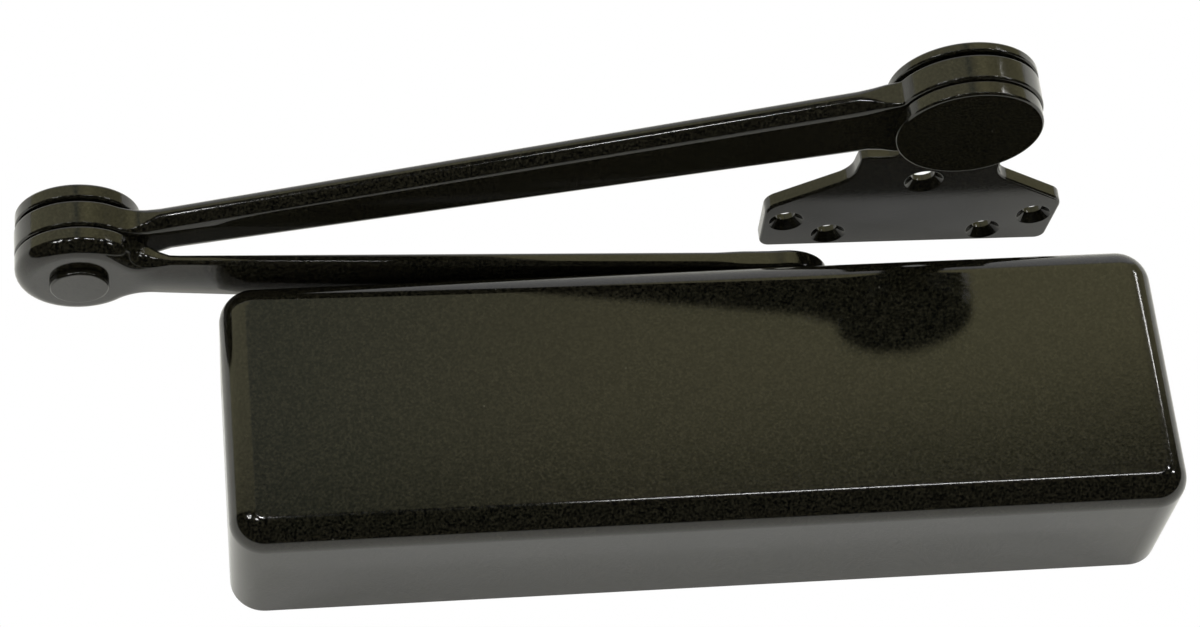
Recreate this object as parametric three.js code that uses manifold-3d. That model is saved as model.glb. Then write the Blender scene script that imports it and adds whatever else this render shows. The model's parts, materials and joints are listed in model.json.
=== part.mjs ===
// Heavy-duty surface door closer: a full cover over a cast rack-and-pinion closer body, a folding parallel
// arm and a soffit shoe with a stop in its joint.
// Millimetres. X runs along the closer, Y points into the door and Z points up, along the spindle.
// The origin is the centre of the mounting holes, on the face that lies against the door.

import * as THREE from 'three';
import { mergeVertices } from 'three/addons/utils/BufferGeometryUtils.js';
import Module from 'manifold-3d';

const wasm = await Module();
wasm.setup();

// ---------------------------------------------------------------------------------------------------
// Clearances
// ---------------------------------------------------------------------------------------------------

const REST_GAP = 0.3; // between two pieces that touch
const RUNNING_GAP = 0.35; // between two pieces that turn or slide on each other
const THROUGH = 1; // how far a cut runs past the face that it opens

// ---------------------------------------------------------------------------------------------------
// Mounting pattern and casting
// ---------------------------------------------------------------------------------------------------

const HOLE_SPACING_X = 304.8;
const HOLE_SPACING_Z = 19;
const MOUNTING_HOLE_RADIUS = 3.6;
const FOOT_LENGTH = 26.4; // from the end of the cylinder to the mounting holes
const FOOT_MARGIN = 8.6; // from the mounting holes to the end of the foot
const BASE_HALF_HEIGHT = 22;
const BASE_THICKNESS = 7;
const BASE_CORNER_RADIUS = 5;
const BORE_RADIUS = 19;
const CYLINDER_WALL = 5.8;
const CYLINDER_BACK_COVER = 4.2; // metal between the cylinder and the door face
const CAP_SEAT_STEP = 1.6; // the threaded seat of an end cap is this much wider than the bore
const CAP_DEPTH = 13;

const CYLINDER_RADIUS = BORE_RADIUS + CYLINDER_WALL;
const AXIS_Y = -(CYLINDER_RADIUS + CYLINDER_BACK_COVER);
const CYLINDER_END = HOLE_SPACING_X / 2 - FOOT_LENGTH;
const BASE_END = HOLE_SPACING_X / 2 + FOOT_MARGIN;
const CAP_SEAT_RADIUS = BORE_RADIUS + CAP_SEAT_STEP;

// ---------------------------------------------------------------------------------------------------
// Cover
// ---------------------------------------------------------------------------------------------------

const COVER_HEIGHT = 99.5;
const COVER_WALL = 2;
const COVER_END_CLEARANCE = 2;
const COVER_FRONT_CLEARANCE = 1.9;
const COVER_DOOR_GAP = 0.5;
const COVER_EDGE_RADIUS = 9.5;
const COVER_CORNER_RADIUS = 12;
const COVER_SLOT_MARGIN = 6; // from the spindle to the edge of the slot in the cover's top

const COVER_LENGTH = 2 * (BASE_END + COVER_END_CLEARANCE + COVER_WALL);
const COVER_FRONT = AXIS_Y - CYLINDER_RADIUS - COVER_FRONT_CLEARANCE - COVER_WALL;
const COVER_INSIDE_END = COVER_LENGTH / 2 - COVER_WALL;
const COVER_INSIDE_HEIGHT = COVER_HEIGHT / 2 - COVER_WALL;

// ---------------------------------------------------------------------------------------------------
// Pinion and piston
// ---------------------------------------------------------------------------------------------------

const GEAR_MODULE = 1.5;
const GEAR_TEETH = 12;
const PRESSURE_ANGLE = THREE.MathUtils.degToRad(25);
const GEAR_ADDENDUM = 1.3;
const GEAR_DEDENDUM = 1.9;
const RACK_ADDENDUM = 1.2;
const RACK_DEDENDUM = 1.8;
const GEAR_BACKLASH = 0.5;
const GEAR_HALF_WIDTH = 9.5;
const COLLAR_RADIUS = 10.4;
const JOURNAL_RADIUS = 8.5;
const SQUARE_SIZE = 12;
const SPINDLE_END_CLEARANCE = 1.5;
const MAIN_ARM_SWING = THREE.MathUtils.degToRad(160);

const PISTON_SPRING_HEAD = 22;
const PISTON_VALVE_HEAD = 20;
const PISTON_WINDOW_CLEARANCE = 1.5;
const PISTON_END_CHAMBER = 20; // oil space between the piston and the end plug
const PISTON_RING_WIDTH = 4;
const PISTON_RING_DEPTH = 1.7;
const PISTON_SPIGOT_RADIUS = 6;
const PISTON_SPIGOT_LENGTH = 8;
const CHECK_BALL_RADIUS = 2.6;
const CHECK_BALL_TRAVEL = 1;

const PITCH_RADIUS = (GEAR_MODULE * GEAR_TEETH) / 2;
const GEAR_TIP_RADIUS = PITCH_RADIUS + GEAR_ADDENDUM;
const TURNING_RADIUS = Math.max(GEAR_TIP_RADIUS, COLLAR_RADIUS);
const PISTON_STROKE = PITCH_RADIUS * MAIN_ARM_SWING;
const PISTON_RADIUS = BORE_RADIUS - RUNNING_GAP;
const WINDOW_HALF_WIDTH = TURNING_RADIUS + PISTON_WINDOW_CLEARANCE;
const WINDOW_LEFT = -WINDOW_HALF_WIDTH;
const WINDOW_RIGHT = PISTON_STROKE + WINDOW_HALF_WIDTH;
const COLLAR_END = BORE_RADIUS;
const PISTON_LEFT = WINDOW_LEFT - PISTON_SPRING_HEAD;
const PISTON_RIGHT = WINDOW_RIGHT + PISTON_VALVE_HEAD;
const PINION_X = CYLINDER_END - CAP_DEPTH - PISTON_END_CHAMBER - PISTON_RIGHT;

// ---------------------------------------------------------------------------------------------------
// Pinion boss, bearings, seals and nuts
// ---------------------------------------------------------------------------------------------------

const BOSS_WALL = 5;
const BEARING_WALL = 5.4;
const SEAL_HEIGHT = 3;
const NUT_DEPTH = 6;
const NUT_FLANGE = 4.7;
const NUT_FLANGE_STEP = 3;
const NUT_COVER_CLEARANCE = 4;

const BEARING_BORE = JOURNAL_RADIUS + RUNNING_GAP;
const BOSS_BORE = BEARING_BORE + BEARING_WALL + REST_GAP;
const BOSS_RADIUS = BOSS_BORE + BOSS_WALL;
const BOSS_END = COVER_INSIDE_HEIGHT - NUT_COVER_CLEARANCE - NUT_FLANGE;
const COVER_SLOT_RADIUS = JOURNAL_RADIUS + COVER_SLOT_MARGIN;

// ---------------------------------------------------------------------------------------------------
// Springs and their adjuster
// ---------------------------------------------------------------------------------------------------

const OUTER_WIRE = 4.6;
const OUTER_PITCH = 10.5;
const INNER_WIRE = 2.8;
const INNER_PITCH = 10;
const SPRING_WALL_GAP = 1.2; // between the outer spring and the bore, and between the two springs
const SEAT_THICKNESS = 6;
const SEAT_TRAVEL = 4;
const ADJUSTER_RADIUS = 5;
const ADJUSTER_COLLAR_RADIUS = 8;
const ADJUSTER_COLLAR = 3;
const ADJUSTER_HEAD_LENGTH = 6;
const ADJUSTER_HEAD_RADIUS = 8;
const ADJUSTER_TAIL = 6; // how far the thread runs past the seat at the end of its travel
const CAP_FLANGE = 6;

const OUTER_SPRING_RADIUS = BORE_RADIUS - SPRING_WALL_GAP - OUTER_WIRE / 2;
const INNER_SPRING_RADIUS = OUTER_SPRING_RADIUS - OUTER_WIRE / 2 - SPRING_WALL_GAP - INNER_WIRE / 2;
const CAP_INNER_FACE = -CYLINDER_END + CAP_DEPTH;
const SEAT_LEFT = CAP_INNER_FACE + ADJUSTER_COLLAR + 2 * REST_GAP;
const SPRING_LEFT = SEAT_LEFT + SEAT_THICKNESS + REST_GAP;
const SPRING_RIGHT = PINION_X + PISTON_LEFT - REST_GAP;

// ---------------------------------------------------------------------------------------------------
// Regulating valves, in a row under the cylinder
// ---------------------------------------------------------------------------------------------------

const VALVE_NAMES = ['backcheck', 'main_speed', 'latch_speed'];
const VALVE_PITCH = 18;
const VALVE_STEM_RADIUS = 3.4;
const VALVE_HEAD_RADIUS = 5;
const VALVE_HEAD_HEIGHT = 4;
const VALVE_BOSS_WALL = 4.2;
const VALVE_BOSS_LENGTH = 9; // below the cylinder
const VALVE_DEPTH = 11;
const VALVE_SEAL_WIDTH = 2.2;
const VALVE_SEAL_DEPTH = 1;
const VALVE_SLOT_WIDTH = 1.2;
const PORT_RADIUS = 1.4;

const VALVE_BORE = VALVE_STEM_RADIUS + REST_GAP;
const VALVE_FACE = -(CYLINDER_RADIUS + VALVE_BOSS_LENGTH);

// ---------------------------------------------------------------------------------------------------
// Cover clips
// ---------------------------------------------------------------------------------------------------

const CLIP_STRIP = 1.5;
const CLIP_HALF_WIDTH = 10;
const CLIP_FOOT = 13;
const CLIP_LIP = 10;
const CLIP_SCREW_RADIUS = 2;
const CLIP_SCREW_HEAD_RADIUS = 3.6;
const CLIP_SCREW_HEAD = 2.4;
const CATCH_HEIGHT = 1.4;
const CATCH_WIDTH = 2.5;

// ---------------------------------------------------------------------------------------------------
// Arms
// ---------------------------------------------------------------------------------------------------

const ARM_CLEARANCE = 2.9; // between the cover and the main arm
const MAIN_ARM_LENGTH = 249.5;
const MAIN_ARM_ANGLE = THREE.MathUtils.degToRad(186.2);
const MAIN_BAR_THICKNESS = 7;
const MAIN_BAR_HALF_WIDTH_AT_HUB = 16.8;
const MAIN_BAR_HALF_WIDTH_AT_ELBOW = 9.8;
const MAIN_BAR_CROWN_AT_HUB = 0.08 * MAIN_BAR_THICKNESS;
const MAIN_BAR_CROWN_AT_ELBOW = 0.23 * MAIN_BAR_THICKNESS;
const MAIN_BAR_EDGE_RADIUS = 0.23 * MAIN_BAR_THICKNESS;
const HUB_RADIUS = 17.5;
const ELBOW_RADIUS = 22;
const MAIN_EYE_THICKNESS = 10;
const MAIN_EYE_ROUNDING = 5.5;
const LAYER_GAP = 0.4; // between two eyes that turn on each other
const FOREARM_LENGTH = 308.7;
const FOREARM_FOLD = THREE.MathUtils.degToRad(160.9);
const FOREARM_THICKNESS = 9.6;
const FOREARM_BAR_THICKNESS = 0.9 * FOREARM_THICKNESS;
const FOREARM_BAR_RELIEF = 0.2; // the bar's upper face is this much below the eyes' upper faces
const FOREARM_HALF_WIDTH_AT_ELBOW = 8.6;
const FOREARM_HALF_WIDTH_AT_SHOE = 16.2;
const FOREARM_LOWER_EDGE_RADIUS = 0.6 * FOREARM_BAR_THICKNESS;
const FOREARM_UPPER_EDGE_RADIUS = 0.2 * FOREARM_BAR_THICKNESS;
const EYE_CHAMFER = 0.8;
const WASHER_THICKNESS = 0.7;
const ELBOW_PIN_RADIUS = 6.7;
const ELBOW_PIN_HEAD_RADIUS = 10.2;
const ELBOW_PIN_HEAD = 2.4;
const ELBOW_CAP_THICKNESS = 5.5;
const ELBOW_CAP_RADIUS = 21.6;
const BUSH_WALL = 2;
const WASHER_WIDTH = 4;

const ARM_BOTTOM = COVER_HEIGHT / 2 + ARM_CLEARANCE;
const MAIN_BAR_TOP = ARM_BOTTOM + MAIN_BAR_THICKNESS;
const MAIN_EYE_TOP = ARM_BOTTOM + MAIN_EYE_THICKNESS;
const FOREARM_BOTTOM = MAIN_EYE_TOP + LAYER_GAP;
const FOREARM_TOP = FOREARM_BOTTOM + FOREARM_THICKNESS;
const DISC_BOTTOM = FOREARM_TOP + WASHER_THICKNESS + 2 * REST_GAP;
const ELBOW_CAP_TOP = DISC_BOTTOM + ELBOW_CAP_THICKNESS;

// ---------------------------------------------------------------------------------------------------
// Arm screw, in the top of the hub
// ---------------------------------------------------------------------------------------------------

const ARM_SCREW_RADIUS = 3.9;
const ARM_SCREW_HEAD_RADIUS = 7;
const ARM_SCREW_HEAD = 2.8;
const ARM_SCREW_DEPTH = 16;
const ARM_SCREW_SOCKET = 2.1;
const ARM_WASHER_RADIUS = 8.6;
const ARM_WASHER_THICKNESS = 1.5;
const HUB_RECESS_FLOOR = MAIN_BAR_TOP - ARM_WASHER_THICKNESS - REST_GAP;

// ---------------------------------------------------------------------------------------------------
// Shoe
// ---------------------------------------------------------------------------------------------------

const SHOE_TURN = THREE.MathUtils.degToRad(14.3); // of the plate against the forearm, at rest
const SHOE_EYE_RADIUS = 26;
const SHOE_UPPER_DISC = 3.7;
const SHOE_LOWER_DISC = 5.5;
const SHOE_LOWER_RADIUS = 25.2;
const SHOE_STUD_RADIUS = 8.7;
const SHOE_STUD_HEAD_RADIUS = 11.5;
const SHOE_STUD_HEAD = 2.6;
const SHOE_PLATE_THICKNESS = 5.5;
const SHOE_PLATE_HALF_LENGTH = 53.5;
const SHOE_CORNER_HALF_LENGTH = 54.8;
const SHOE_PLATE_EDGE = 110; // the straight edge, from the pivot
const SHOE_CORNER = 83;
const SHOE_NECK_ROOT = 64;
const SHOE_NECK_END = 50;
const SHOE_NECK_HALF_WIDTH = 25.5;
const SHOE_WEB_HALF_WIDTH = 11;
const SHOE_BOSS_RADIUS = 16;
const SHOE_SCREW_HOLES = [
  { x: 0, y: 66.5, radius: 4.4, sink: 7 },
  { x: -46, y: 92.5, radius: 3.8, sink: 6.3 },
  { x: 46, y: 92.5, radius: 3.8, sink: 6.3 },
  { x: -29, y: 102.3, radius: 3.8, sink: 6.3 },
  { x: 29, y: 102.3, radius: 3.8, sink: 6.3 },
];
const SINK_DEPTH = 2.9;

const STOP_INNER_RADIUS = 14.6;
const STOP_OUTER_RADIUS = 21.6;
const STOP_POCKET_DEPTH = 6;
const STOP_LUG_HALF_ANGLE = THREE.MathUtils.degToRad(12);
const STOP_PAD_ANGLE = THREE.MathUtils.degToRad(14);
const SHOE_TURN_BACK = THREE.MathUtils.degToRad(20);
const SHOE_TURN_FORWARD = THREE.MathUtils.degToRad(100);
const STOP_LUG_ANGLE = THREE.MathUtils.degToRad(215);

const SHOE_UPPER_TOP = DISC_BOTTOM + SHOE_UPPER_DISC;
const SHOE_PLATE_BOTTOM = SHOE_UPPER_TOP + REST_GAP;
const SHOE_PLATE_TOP = SHOE_PLATE_BOTTOM + SHOE_PLATE_THICKNESS;
const SHOE_LOWER_TOP = FOREARM_BOTTOM - LAYER_GAP;
const SHOE_LOWER_BOTTOM = SHOE_LOWER_TOP - SHOE_LOWER_DISC;

// ---------------------------------------------------------------------------------------------------
// Materials
// ---------------------------------------------------------------------------------------------------

const finish = (color, roughness, metalness) => {
  return new THREE.MeshStandardMaterial({ color, roughness, metalness });
};

const BRONZE_PAINT = finish(0x2a251b, 0.42, 0.25);
const CASTING_PAINT = finish(0x3b3c3d, 0.6, 0.5);
const STEEL = finish(0x8c8d8f, 0.35, 0.9);
const SPRING_STEEL = finish(0x4b4c50, 0.4, 0.85);
const BEARING_BRONZE = finish(0x9c7a3c, 0.4, 0.85);
const ZINC = finish(0xb3b1a6, 0.35, 0.85);
const SEAL_RUBBER = finish(0x161616, 0.8, 0);
const BUMPER_RUBBER = finish(0x2a2a2a, 0.9, 0);

// ---------------------------------------------------------------------------------------------------
// Solids
// ---------------------------------------------------------------------------------------------------

const WELD = 1e-4;
const FINE = 36; // sides of a large round
const MEDIUM = 20;
const COARSE = 12;

function signedVolume(positions, triangles) {
  const a = new THREE.Vector3();
  const b = new THREE.Vector3();
  const c = new THREE.Vector3();
  let sum = 0;
  for (const [i, j, k] of triangles) {
    a.fromArray(positions, 3 * i);
    b.fromArray(positions, 3 * j);
    c.fromArray(positions, 3 * k);
    sum += a.dot(b.cross(c)) / 6;
  }
  return sum;
}

// A closed geometry as a solid with its faces pointing out.
function solidOf(geometry) {
  const bare = geometry.clone();
  bare.deleteAttribute('normal');
  bare.deleteAttribute('uv');
  const merged = mergeVertices(bare, WELD);
  const positions = new Float32Array(merged.attributes.position.array);
  const index = merged.index.array;
  const triangles = [];
  for (let i = 0; i < index.length; i += 3) {
    const [a, b, c] = [index[i], index[i + 1], index[i + 2]];
    if (a !== b && b !== c && c !== a) {
      triangles.push([a, b, c]);
    }
  }
  const outward = signedVolume(positions, triangles) > 0;
  const triVerts = new Uint32Array(triangles.flatMap(([a, b, c]) => (outward ? [a, b, c] : [a, c, b])));
  return new wasm.Manifold(new wasm.Mesh({ numProp: 3, vertProperties: positions, triVerts }));
}

function geometryOf(solid) {
  const mesh = solid.getMesh();
  const geometry = new THREE.BufferGeometry();
  geometry.setAttribute('position', new THREE.BufferAttribute(new Float32Array(mesh.vertProperties), 3));
  geometry.setIndex(new THREE.BufferAttribute(new Uint32Array(mesh.triVerts), 1));
  geometry.computeVertexNormals();
  return geometry;
}

const union = (first, ...rest) => rest.reduce((solid, other) => solid.add(other), first);
const cut = (first, ...rest) => rest.reduce((solid, other) => solid.subtract(other), first);

function block([x0, y0, z0], [x1, y1, z1]) {
  const geometry = new THREE.BoxGeometry(x1 - x0, y1 - y0, z1 - z0);
  geometry.translate((x0 + x1) / 2, (y0 + y1) / 2, (z0 + z1) / 2);
  return solidOf(geometry);
}

// A round bar along Z.
function rodZ(radius, x, y, z0, z1, segments = MEDIUM) {
  const geometry = new THREE.CylinderGeometry(radius, radius, z1 - z0, segments);
  geometry.rotateX(Math.PI / 2);
  geometry.translate(x, y, (z0 + z1) / 2);
  return solidOf(geometry);
}

// A round bar along X, on the cylinder's axis unless y is given.
function rodX(radius, x0, x1, segments = MEDIUM, y = AXIS_Y) {
  const geometry = new THREE.CylinderGeometry(radius, radius, x1 - x0, segments);
  geometry.rotateZ(Math.PI / 2);
  geometry.translate((x0 + x1) / 2, y, 0);
  return solidOf(geometry);
}

// A profile of [radius, height] points turned about Z.
function turnedZ(profile, x = 0, y = 0, segments = MEDIUM) {
  const points = profile.map(([radius, height]) => new THREE.Vector2(radius, height));
  const geometry = new THREE.LatheGeometry(points, segments);
  geometry.rotateX(Math.PI / 2);
  geometry.translate(x, y, 0);
  return solidOf(geometry);
}

// A ring about Z with a square section.
function ringZ(inner, outer, x, y, z0, z1, segments = MEDIUM) {
  const profile = [[inner, z0], [outer, z0], [outer, z1], [inner, z1], [inner, z0]];
  return turnedZ(profile, x, y, segments);
}

// A ring about the cylinder's axis with a square section.
function ringX(inner, outer, x0, x1, segments = MEDIUM) {
  return cut(rodX(outer, x0, x1, segments), rodX(inner, x0 - THROUGH, x1 + THROUGH, segments));
}

// A disc about Z with both rims chamfered.
function discZ(radius, z0, z1, lowerChamfer, upperChamfer, segments = FINE) {
  const profile = [
    [0, z0],
    [radius - lowerChamfer, z0],
    [radius, z0 + lowerChamfer],
    [radius, z1 - upperChamfer],
    [radius - upperChamfer, z1],
    [0, z1],
  ];
  return turnedZ(profile, 0, 0, segments);
}

// A flat outline in XY, raised from z0 to z1.
function plateZ(shape, z0, z1, curveSegments = 5) {
  const geometry = new THREE.ExtrudeGeometry(shape, { depth: z1 - z0, bevelEnabled: false, curveSegments });
  geometry.translate(0, 0, z0);
  return solidOf(geometry);
}

// A solid through rings of the same number of points, closed by a fan at each end.
function loft(rings) {
  const count = rings[0].length;
  const positions = rings.flat().flatMap((point) => point.toArray());
  const index = [];
  for (let ring = 0; ring + 1 < rings.length; ring += 1) {
    for (let i = 0; i < count; i += 1) {
      const a = ring * count + i;
      const b = ring * count + ((i + 1) % count);
      index.push(a, b, a + count, b, b + count, a + count);
    }
  }
  for (const [ring, flip] of [[0, true], [rings.length - 1, false]]) {
    const centre = new THREE.Vector3();
    rings[ring].forEach((point) => centre.addScaledVector(point, 1 / count));
    const hub = positions.length / 3;
    positions.push(...centre.toArray());
    for (let i = 0; i < count; i += 1) {
      const a = ring * count + i;
      const b = ring * count + ((i + 1) % count);
      index.push(hub, ...(flip ? [b, a] : [a, b]));
    }
  }
  const geometry = new THREE.BufferGeometry();
  geometry.setAttribute('position', new THREE.Float32BufferAttribute(positions, 3));
  geometry.setIndex(index);
  return solidOf(geometry);
}

// The points of a rectangle with round corners, anticlockwise.
function roundedRectangle(halfWidth, halfHeight, radius, steps) {
  const points = [];
  for (let corner = 0; corner < 4; corner += 1) {
    const start = (corner * Math.PI) / 2;
    const signX = corner === 0 || corner === 3 ? 1 : -1;
    const signY = corner < 2 ? 1 : -1;
    for (let step = 0; step <= steps; step += 1) {
      const angle = start + (step / steps) * (Math.PI / 2);
      const u = signX * (halfWidth - radius) + radius * Math.cos(angle);
      const v = signY * (halfHeight - radius) + radius * Math.sin(angle);
      points.push([u, v]);
    }
  }
  return points;
}

// An outline whose corners are [x, y, rounding].
function roundedOutline(corners) {
  const shape = new THREE.Shape();
  corners.forEach(([x, y, rounding], i) => {
    const corner = new THREE.Vector2(x, y);
    const before = new THREE.Vector2(...corners[(i + corners.length - 1) % corners.length]);
    const after = new THREE.Vector2(...corners[(i + 1) % corners.length]);
    const entry = before.sub(corner).setLength(rounding).add(corner);
    const exit = after.sub(corner).setLength(rounding).add(corner);
    if (i === 0) {
      shape.moveTo(entry.x, entry.y);
    } else {
      shape.lineTo(entry.x, entry.y);
    }
    shape.quadraticCurveTo(x, y, exit.x, exit.y);
  });
  shape.closePath();
  return shape;
}

// A part of a ring about Z, from one angle to another.
function sectorZ(inner, outer, from, to, z0, z1) {
  const stepsPerTurn = 18;
  const curveSegments = Math.ceil((stepsPerTurn * (to - from)) / (2 * Math.PI));
  const shape = new THREE.Shape();
  shape.absarc(0, 0, outer, from, to, false);
  shape.absarc(0, 0, inner, to, from, true);
  shape.closePath();
  return plateZ(shape, z0, z1, curveSegments);
}

class Helix extends THREE.Curve {
  constructor(radius, x0, x1, turns) {
    super();
    Object.assign(this, { radius, x0, x1, turns });
  }

  getPoint(t, target = new THREE.Vector3()) {
    const angle = 2 * Math.PI * this.turns * t;
    const y = AXIS_Y + this.radius * Math.cos(angle);
    const z = this.radius * Math.sin(angle);
    return target.set(this.x0 + (this.x1 - this.x0) * t, y, z);
  }
}

// ---------------------------------------------------------------------------------------------------
// Assembly groups
// ---------------------------------------------------------------------------------------------------

const closer = new THREE.Group();
const mainArmGroup = new THREE.Group();
const forearmGroup = new THREE.Group();
const shoeGroup = new THREE.Group();

mainArmGroup.position.set(PINION_X, AXIS_Y, 0);
mainArmGroup.rotation.z = MAIN_ARM_ANGLE;
forearmGroup.position.x = MAIN_ARM_LENGTH;
forearmGroup.rotation.z = FOREARM_FOLD;
shoeGroup.position.x = FOREARM_LENGTH;
shoeGroup.rotation.z = SHOE_TURN;
closer.add(mainArmGroup);
mainArmGroup.add(forearmGroup);
forearmGroup.add(shoeGroup);

function addPiece(group, name, material, solid) {
  const mesh = new THREE.Mesh(geometryOf(solid), material);
  mesh.name = name;
  group.add(mesh);
}

// ---------------------------------------------------------------------------------------------------
// Cover: a drawn box, open towards the door, with round front edges and a slot for the spindle
// ---------------------------------------------------------------------------------------------------

function coverBox(inset, back) {
  const edge = COVER_EDGE_RADIUS - inset;
  const corner = COVER_CORNER_RADIUS - inset;
  const front = COVER_FRONT + inset;
  const steps = 5;
  const ring = (y, shrink) => {
    const halfLength = COVER_LENGTH / 2 - inset - shrink;
    const halfHeight = COVER_HEIGHT / 2 - inset - shrink;
    const outline = roundedRectangle(halfLength, halfHeight, corner - shrink, steps);
    return outline.map(([x, z]) => new THREE.Vector3(x, y, z));
  };
  const rings = [ring(back, 0)];
  for (let step = 0; step <= steps; step += 1) {
    const angle = (step / steps) * (Math.PI / 2);
    rings.push(ring(front + edge * (1 - Math.sin(angle)), edge * (1 - Math.cos(angle))));
  }
  return loft(rings);
}

function coverCatch(side) {
  const from = side * (COVER_INSIDE_END - CATCH_HEIGHT);
  const to = side * (COVER_INSIDE_END + COVER_WALL / 2);
  return block(
    [Math.min(from, to), -BASE_THICKNESS, -CLIP_HALF_WIDTH],
    [Math.max(from, to), -BASE_THICKNESS + CATCH_WIDTH, CLIP_HALF_WIDTH],
  );
}

function cover() {
  const slotTop = COVER_HEIGHT / 2 + THROUGH;
  const slotBottom = COVER_INSIDE_HEIGHT - COVER_EDGE_RADIUS / 2;
  const slotEnd = rodZ(COVER_SLOT_RADIUS, PINION_X, AXIS_Y, slotBottom, slotTop);
  const slot = block(
    [PINION_X - COVER_SLOT_RADIUS, AXIS_Y, slotBottom],
    [PINION_X + COVER_SLOT_RADIUS, THROUGH, slotTop],
  );
  const shell = cut(coverBox(0, -COVER_DOOR_GAP), coverBox(COVER_WALL, THROUGH), slotEnd, slot);
  return union(shell, coverCatch(-1), coverCatch(1));
}

addPiece(closer, 'cover', BRONZE_PAINT, cover());

// ---------------------------------------------------------------------------------------------------
// Cylinder body: one casting with its base, feet, pinion boss and valve bosses
// ---------------------------------------------------------------------------------------------------

const valveX = (i) => PINION_X + BOSS_RADIUS + VALVE_PITCH * (i + 0.8);

function basePlate() {
  const r = BASE_CORNER_RADIUS;
  const outline = roundedOutline([
    [-BASE_END, -BASE_HALF_HEIGHT, r],
    [BASE_END, -BASE_HALF_HEIGHT, r],
    [BASE_END, BASE_HALF_HEIGHT, r],
    [-BASE_END, BASE_HALF_HEIGHT, r],
  ]);
  for (const side of [-1, 1]) {
    for (const level of [-1, 1]) {
      const hole = new THREE.Path();
      const x = (side * HOLE_SPACING_X) / 2;
      const y = (level * HOLE_SPACING_Z) / 2;
      hole.absarc(x, y, MOUNTING_HOLE_RADIUS, 0, 2 * Math.PI, true);
      outline.holes.push(hole);
    }
  }
  const geometry = new THREE.ExtrudeGeometry(outline, {
    depth: BASE_THICKNESS,
    bevelEnabled: false,
    curveSegments: 5,
  });
  geometry.rotateX(Math.PI / 2);
  return solidOf(geometry);
}

function cylinderBody() {
  const bossWeb = block(
    [PINION_X - BOSS_RADIUS, AXIS_Y, -BOSS_END],
    [PINION_X + BOSS_RADIUS, -BASE_THICKNESS / 2, BOSS_END],
  );
  const bossTop = -BORE_RADIUS - CYLINDER_WALL / 2;
  const valveBosses = VALVE_NAMES.map((name, i) =>
    rodZ(VALVE_BORE + VALVE_BOSS_WALL, valveX(i), AXIS_Y, VALVE_FACE, bossTop, COARSE),
  );
  const outside = union(
    rodX(CYLINDER_RADIUS, -CYLINDER_END, CYLINDER_END, FINE),
    basePlate(),
    rodZ(BOSS_RADIUS, PINION_X, AXIS_Y, -BOSS_END, BOSS_END, FINE),
    bossWeb,
    ...valveBosses,
  );
  const valveBores = VALVE_NAMES.flatMap((name, i) => {
    const floor = VALVE_FACE + VALVE_DEPTH;
    return [
      rodZ(VALVE_BORE, valveX(i), AXIS_Y, VALVE_FACE - THROUGH, floor, COARSE),
      rodZ(PORT_RADIUS, valveX(i), AXIS_Y, floor - THROUGH, -BORE_RADIUS + 3 * THROUGH, 12),
    ];
  });
  return cut(
    outside,
    rodX(BORE_RADIUS, -CYLINDER_END - THROUGH, CYLINDER_END + THROUGH, FINE),
    rodX(CAP_SEAT_RADIUS, -CYLINDER_END - THROUGH, CAP_INNER_FACE, FINE),
    rodX(CAP_SEAT_RADIUS, CYLINDER_END - CAP_DEPTH, CYLINDER_END + THROUGH, FINE),
    rodZ(BOSS_BORE, PINION_X, AXIS_Y, -BOSS_END - THROUGH, BOSS_END + THROUGH, FINE),
    ...valveBores,
    ...[-1, 1].map((side) => clipScrewHole(side)),
  );
}

// ---------------------------------------------------------------------------------------------------
// End cap and end plug, each with its seal
// ---------------------------------------------------------------------------------------------------

const CAP_RADIUS = CAP_SEAT_RADIUS - REST_GAP;
const CAP_FLANGE_RADIUS = -AXIS_Y - BASE_THICKNESS - REST_GAP;
const CAP_SEAL_WIDTH = 3;
const CAP_SEAL_DEPTH = 2.4;
const CAP_SPANNER_HOLE_RADIUS = 2.5;
const CAP_SPANNER_HOLE_DEPTH = 4;

function endClosure(side) {
  const inner = side * (CYLINDER_END - CAP_DEPTH + REST_GAP);
  const face = side * (CYLINDER_END + REST_GAP);
  const outer = face + side * CAP_FLANGE;
  const groove = side * (CYLINDER_END - CAP_DEPTH / 2);
  const span = (a, b) => [Math.min(a, b), Math.max(a, b)];
  const spannerHoles = [0, 1, 2, 3].map((i) => {
    const angle = Math.PI / 4 + (i * Math.PI) / 2;
    const radius = (CAP_FLANGE_RADIUS * 2) / 3;
    const [x0, x1] = span(outer - side * CAP_SPANNER_HOLE_DEPTH, outer + side * THROUGH);
    const hole = rodX(CAP_SPANNER_HOLE_RADIUS, x0, x1, 12, AXIS_Y + radius * Math.cos(angle));
    return hole.translate([0, 0, radius * Math.sin(angle)]);
  });
  const half = CAP_SEAL_WIDTH / 2;
  return cut(
    union(
      rodX(CAP_RADIUS, ...span(inner, face), FINE),
      rodX(CAP_FLANGE_RADIUS, ...span(face, outer), FINE),
    ),
    ringX(CAP_RADIUS - CAP_SEAL_DEPTH, CAP_RADIUS + THROUGH, groove - half, groove + half, FINE),
    ...spannerHoles,
  );
}

function endSeal(side) {
  const groove = side * (CYLINDER_END - CAP_DEPTH / 2);
  const half = CAP_SEAL_WIDTH / 2 - REST_GAP;
  return ringX(CAP_RADIUS - CAP_SEAL_DEPTH + REST_GAP, CAP_RADIUS, groove - half, groove + half, MEDIUM);
}

const adjusterBore = rodX(
  ADJUSTER_RADIUS + RUNNING_GAP,
  -CYLINDER_END - CAP_FLANGE - 2 * THROUGH,
  CAP_INNER_FACE + THROUGH,
);

addPiece(closer, 'spring_end_cap', CASTING_PAINT, cut(endClosure(-1), adjusterBore));
addPiece(closer, 'piston_end_plug', CASTING_PAINT, endClosure(1));
addPiece(closer, 'spring_cap_seal', SEAL_RUBBER, endSeal(-1));
addPiece(closer, 'piston_plug_seal', SEAL_RUBBER, endSeal(1));

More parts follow.
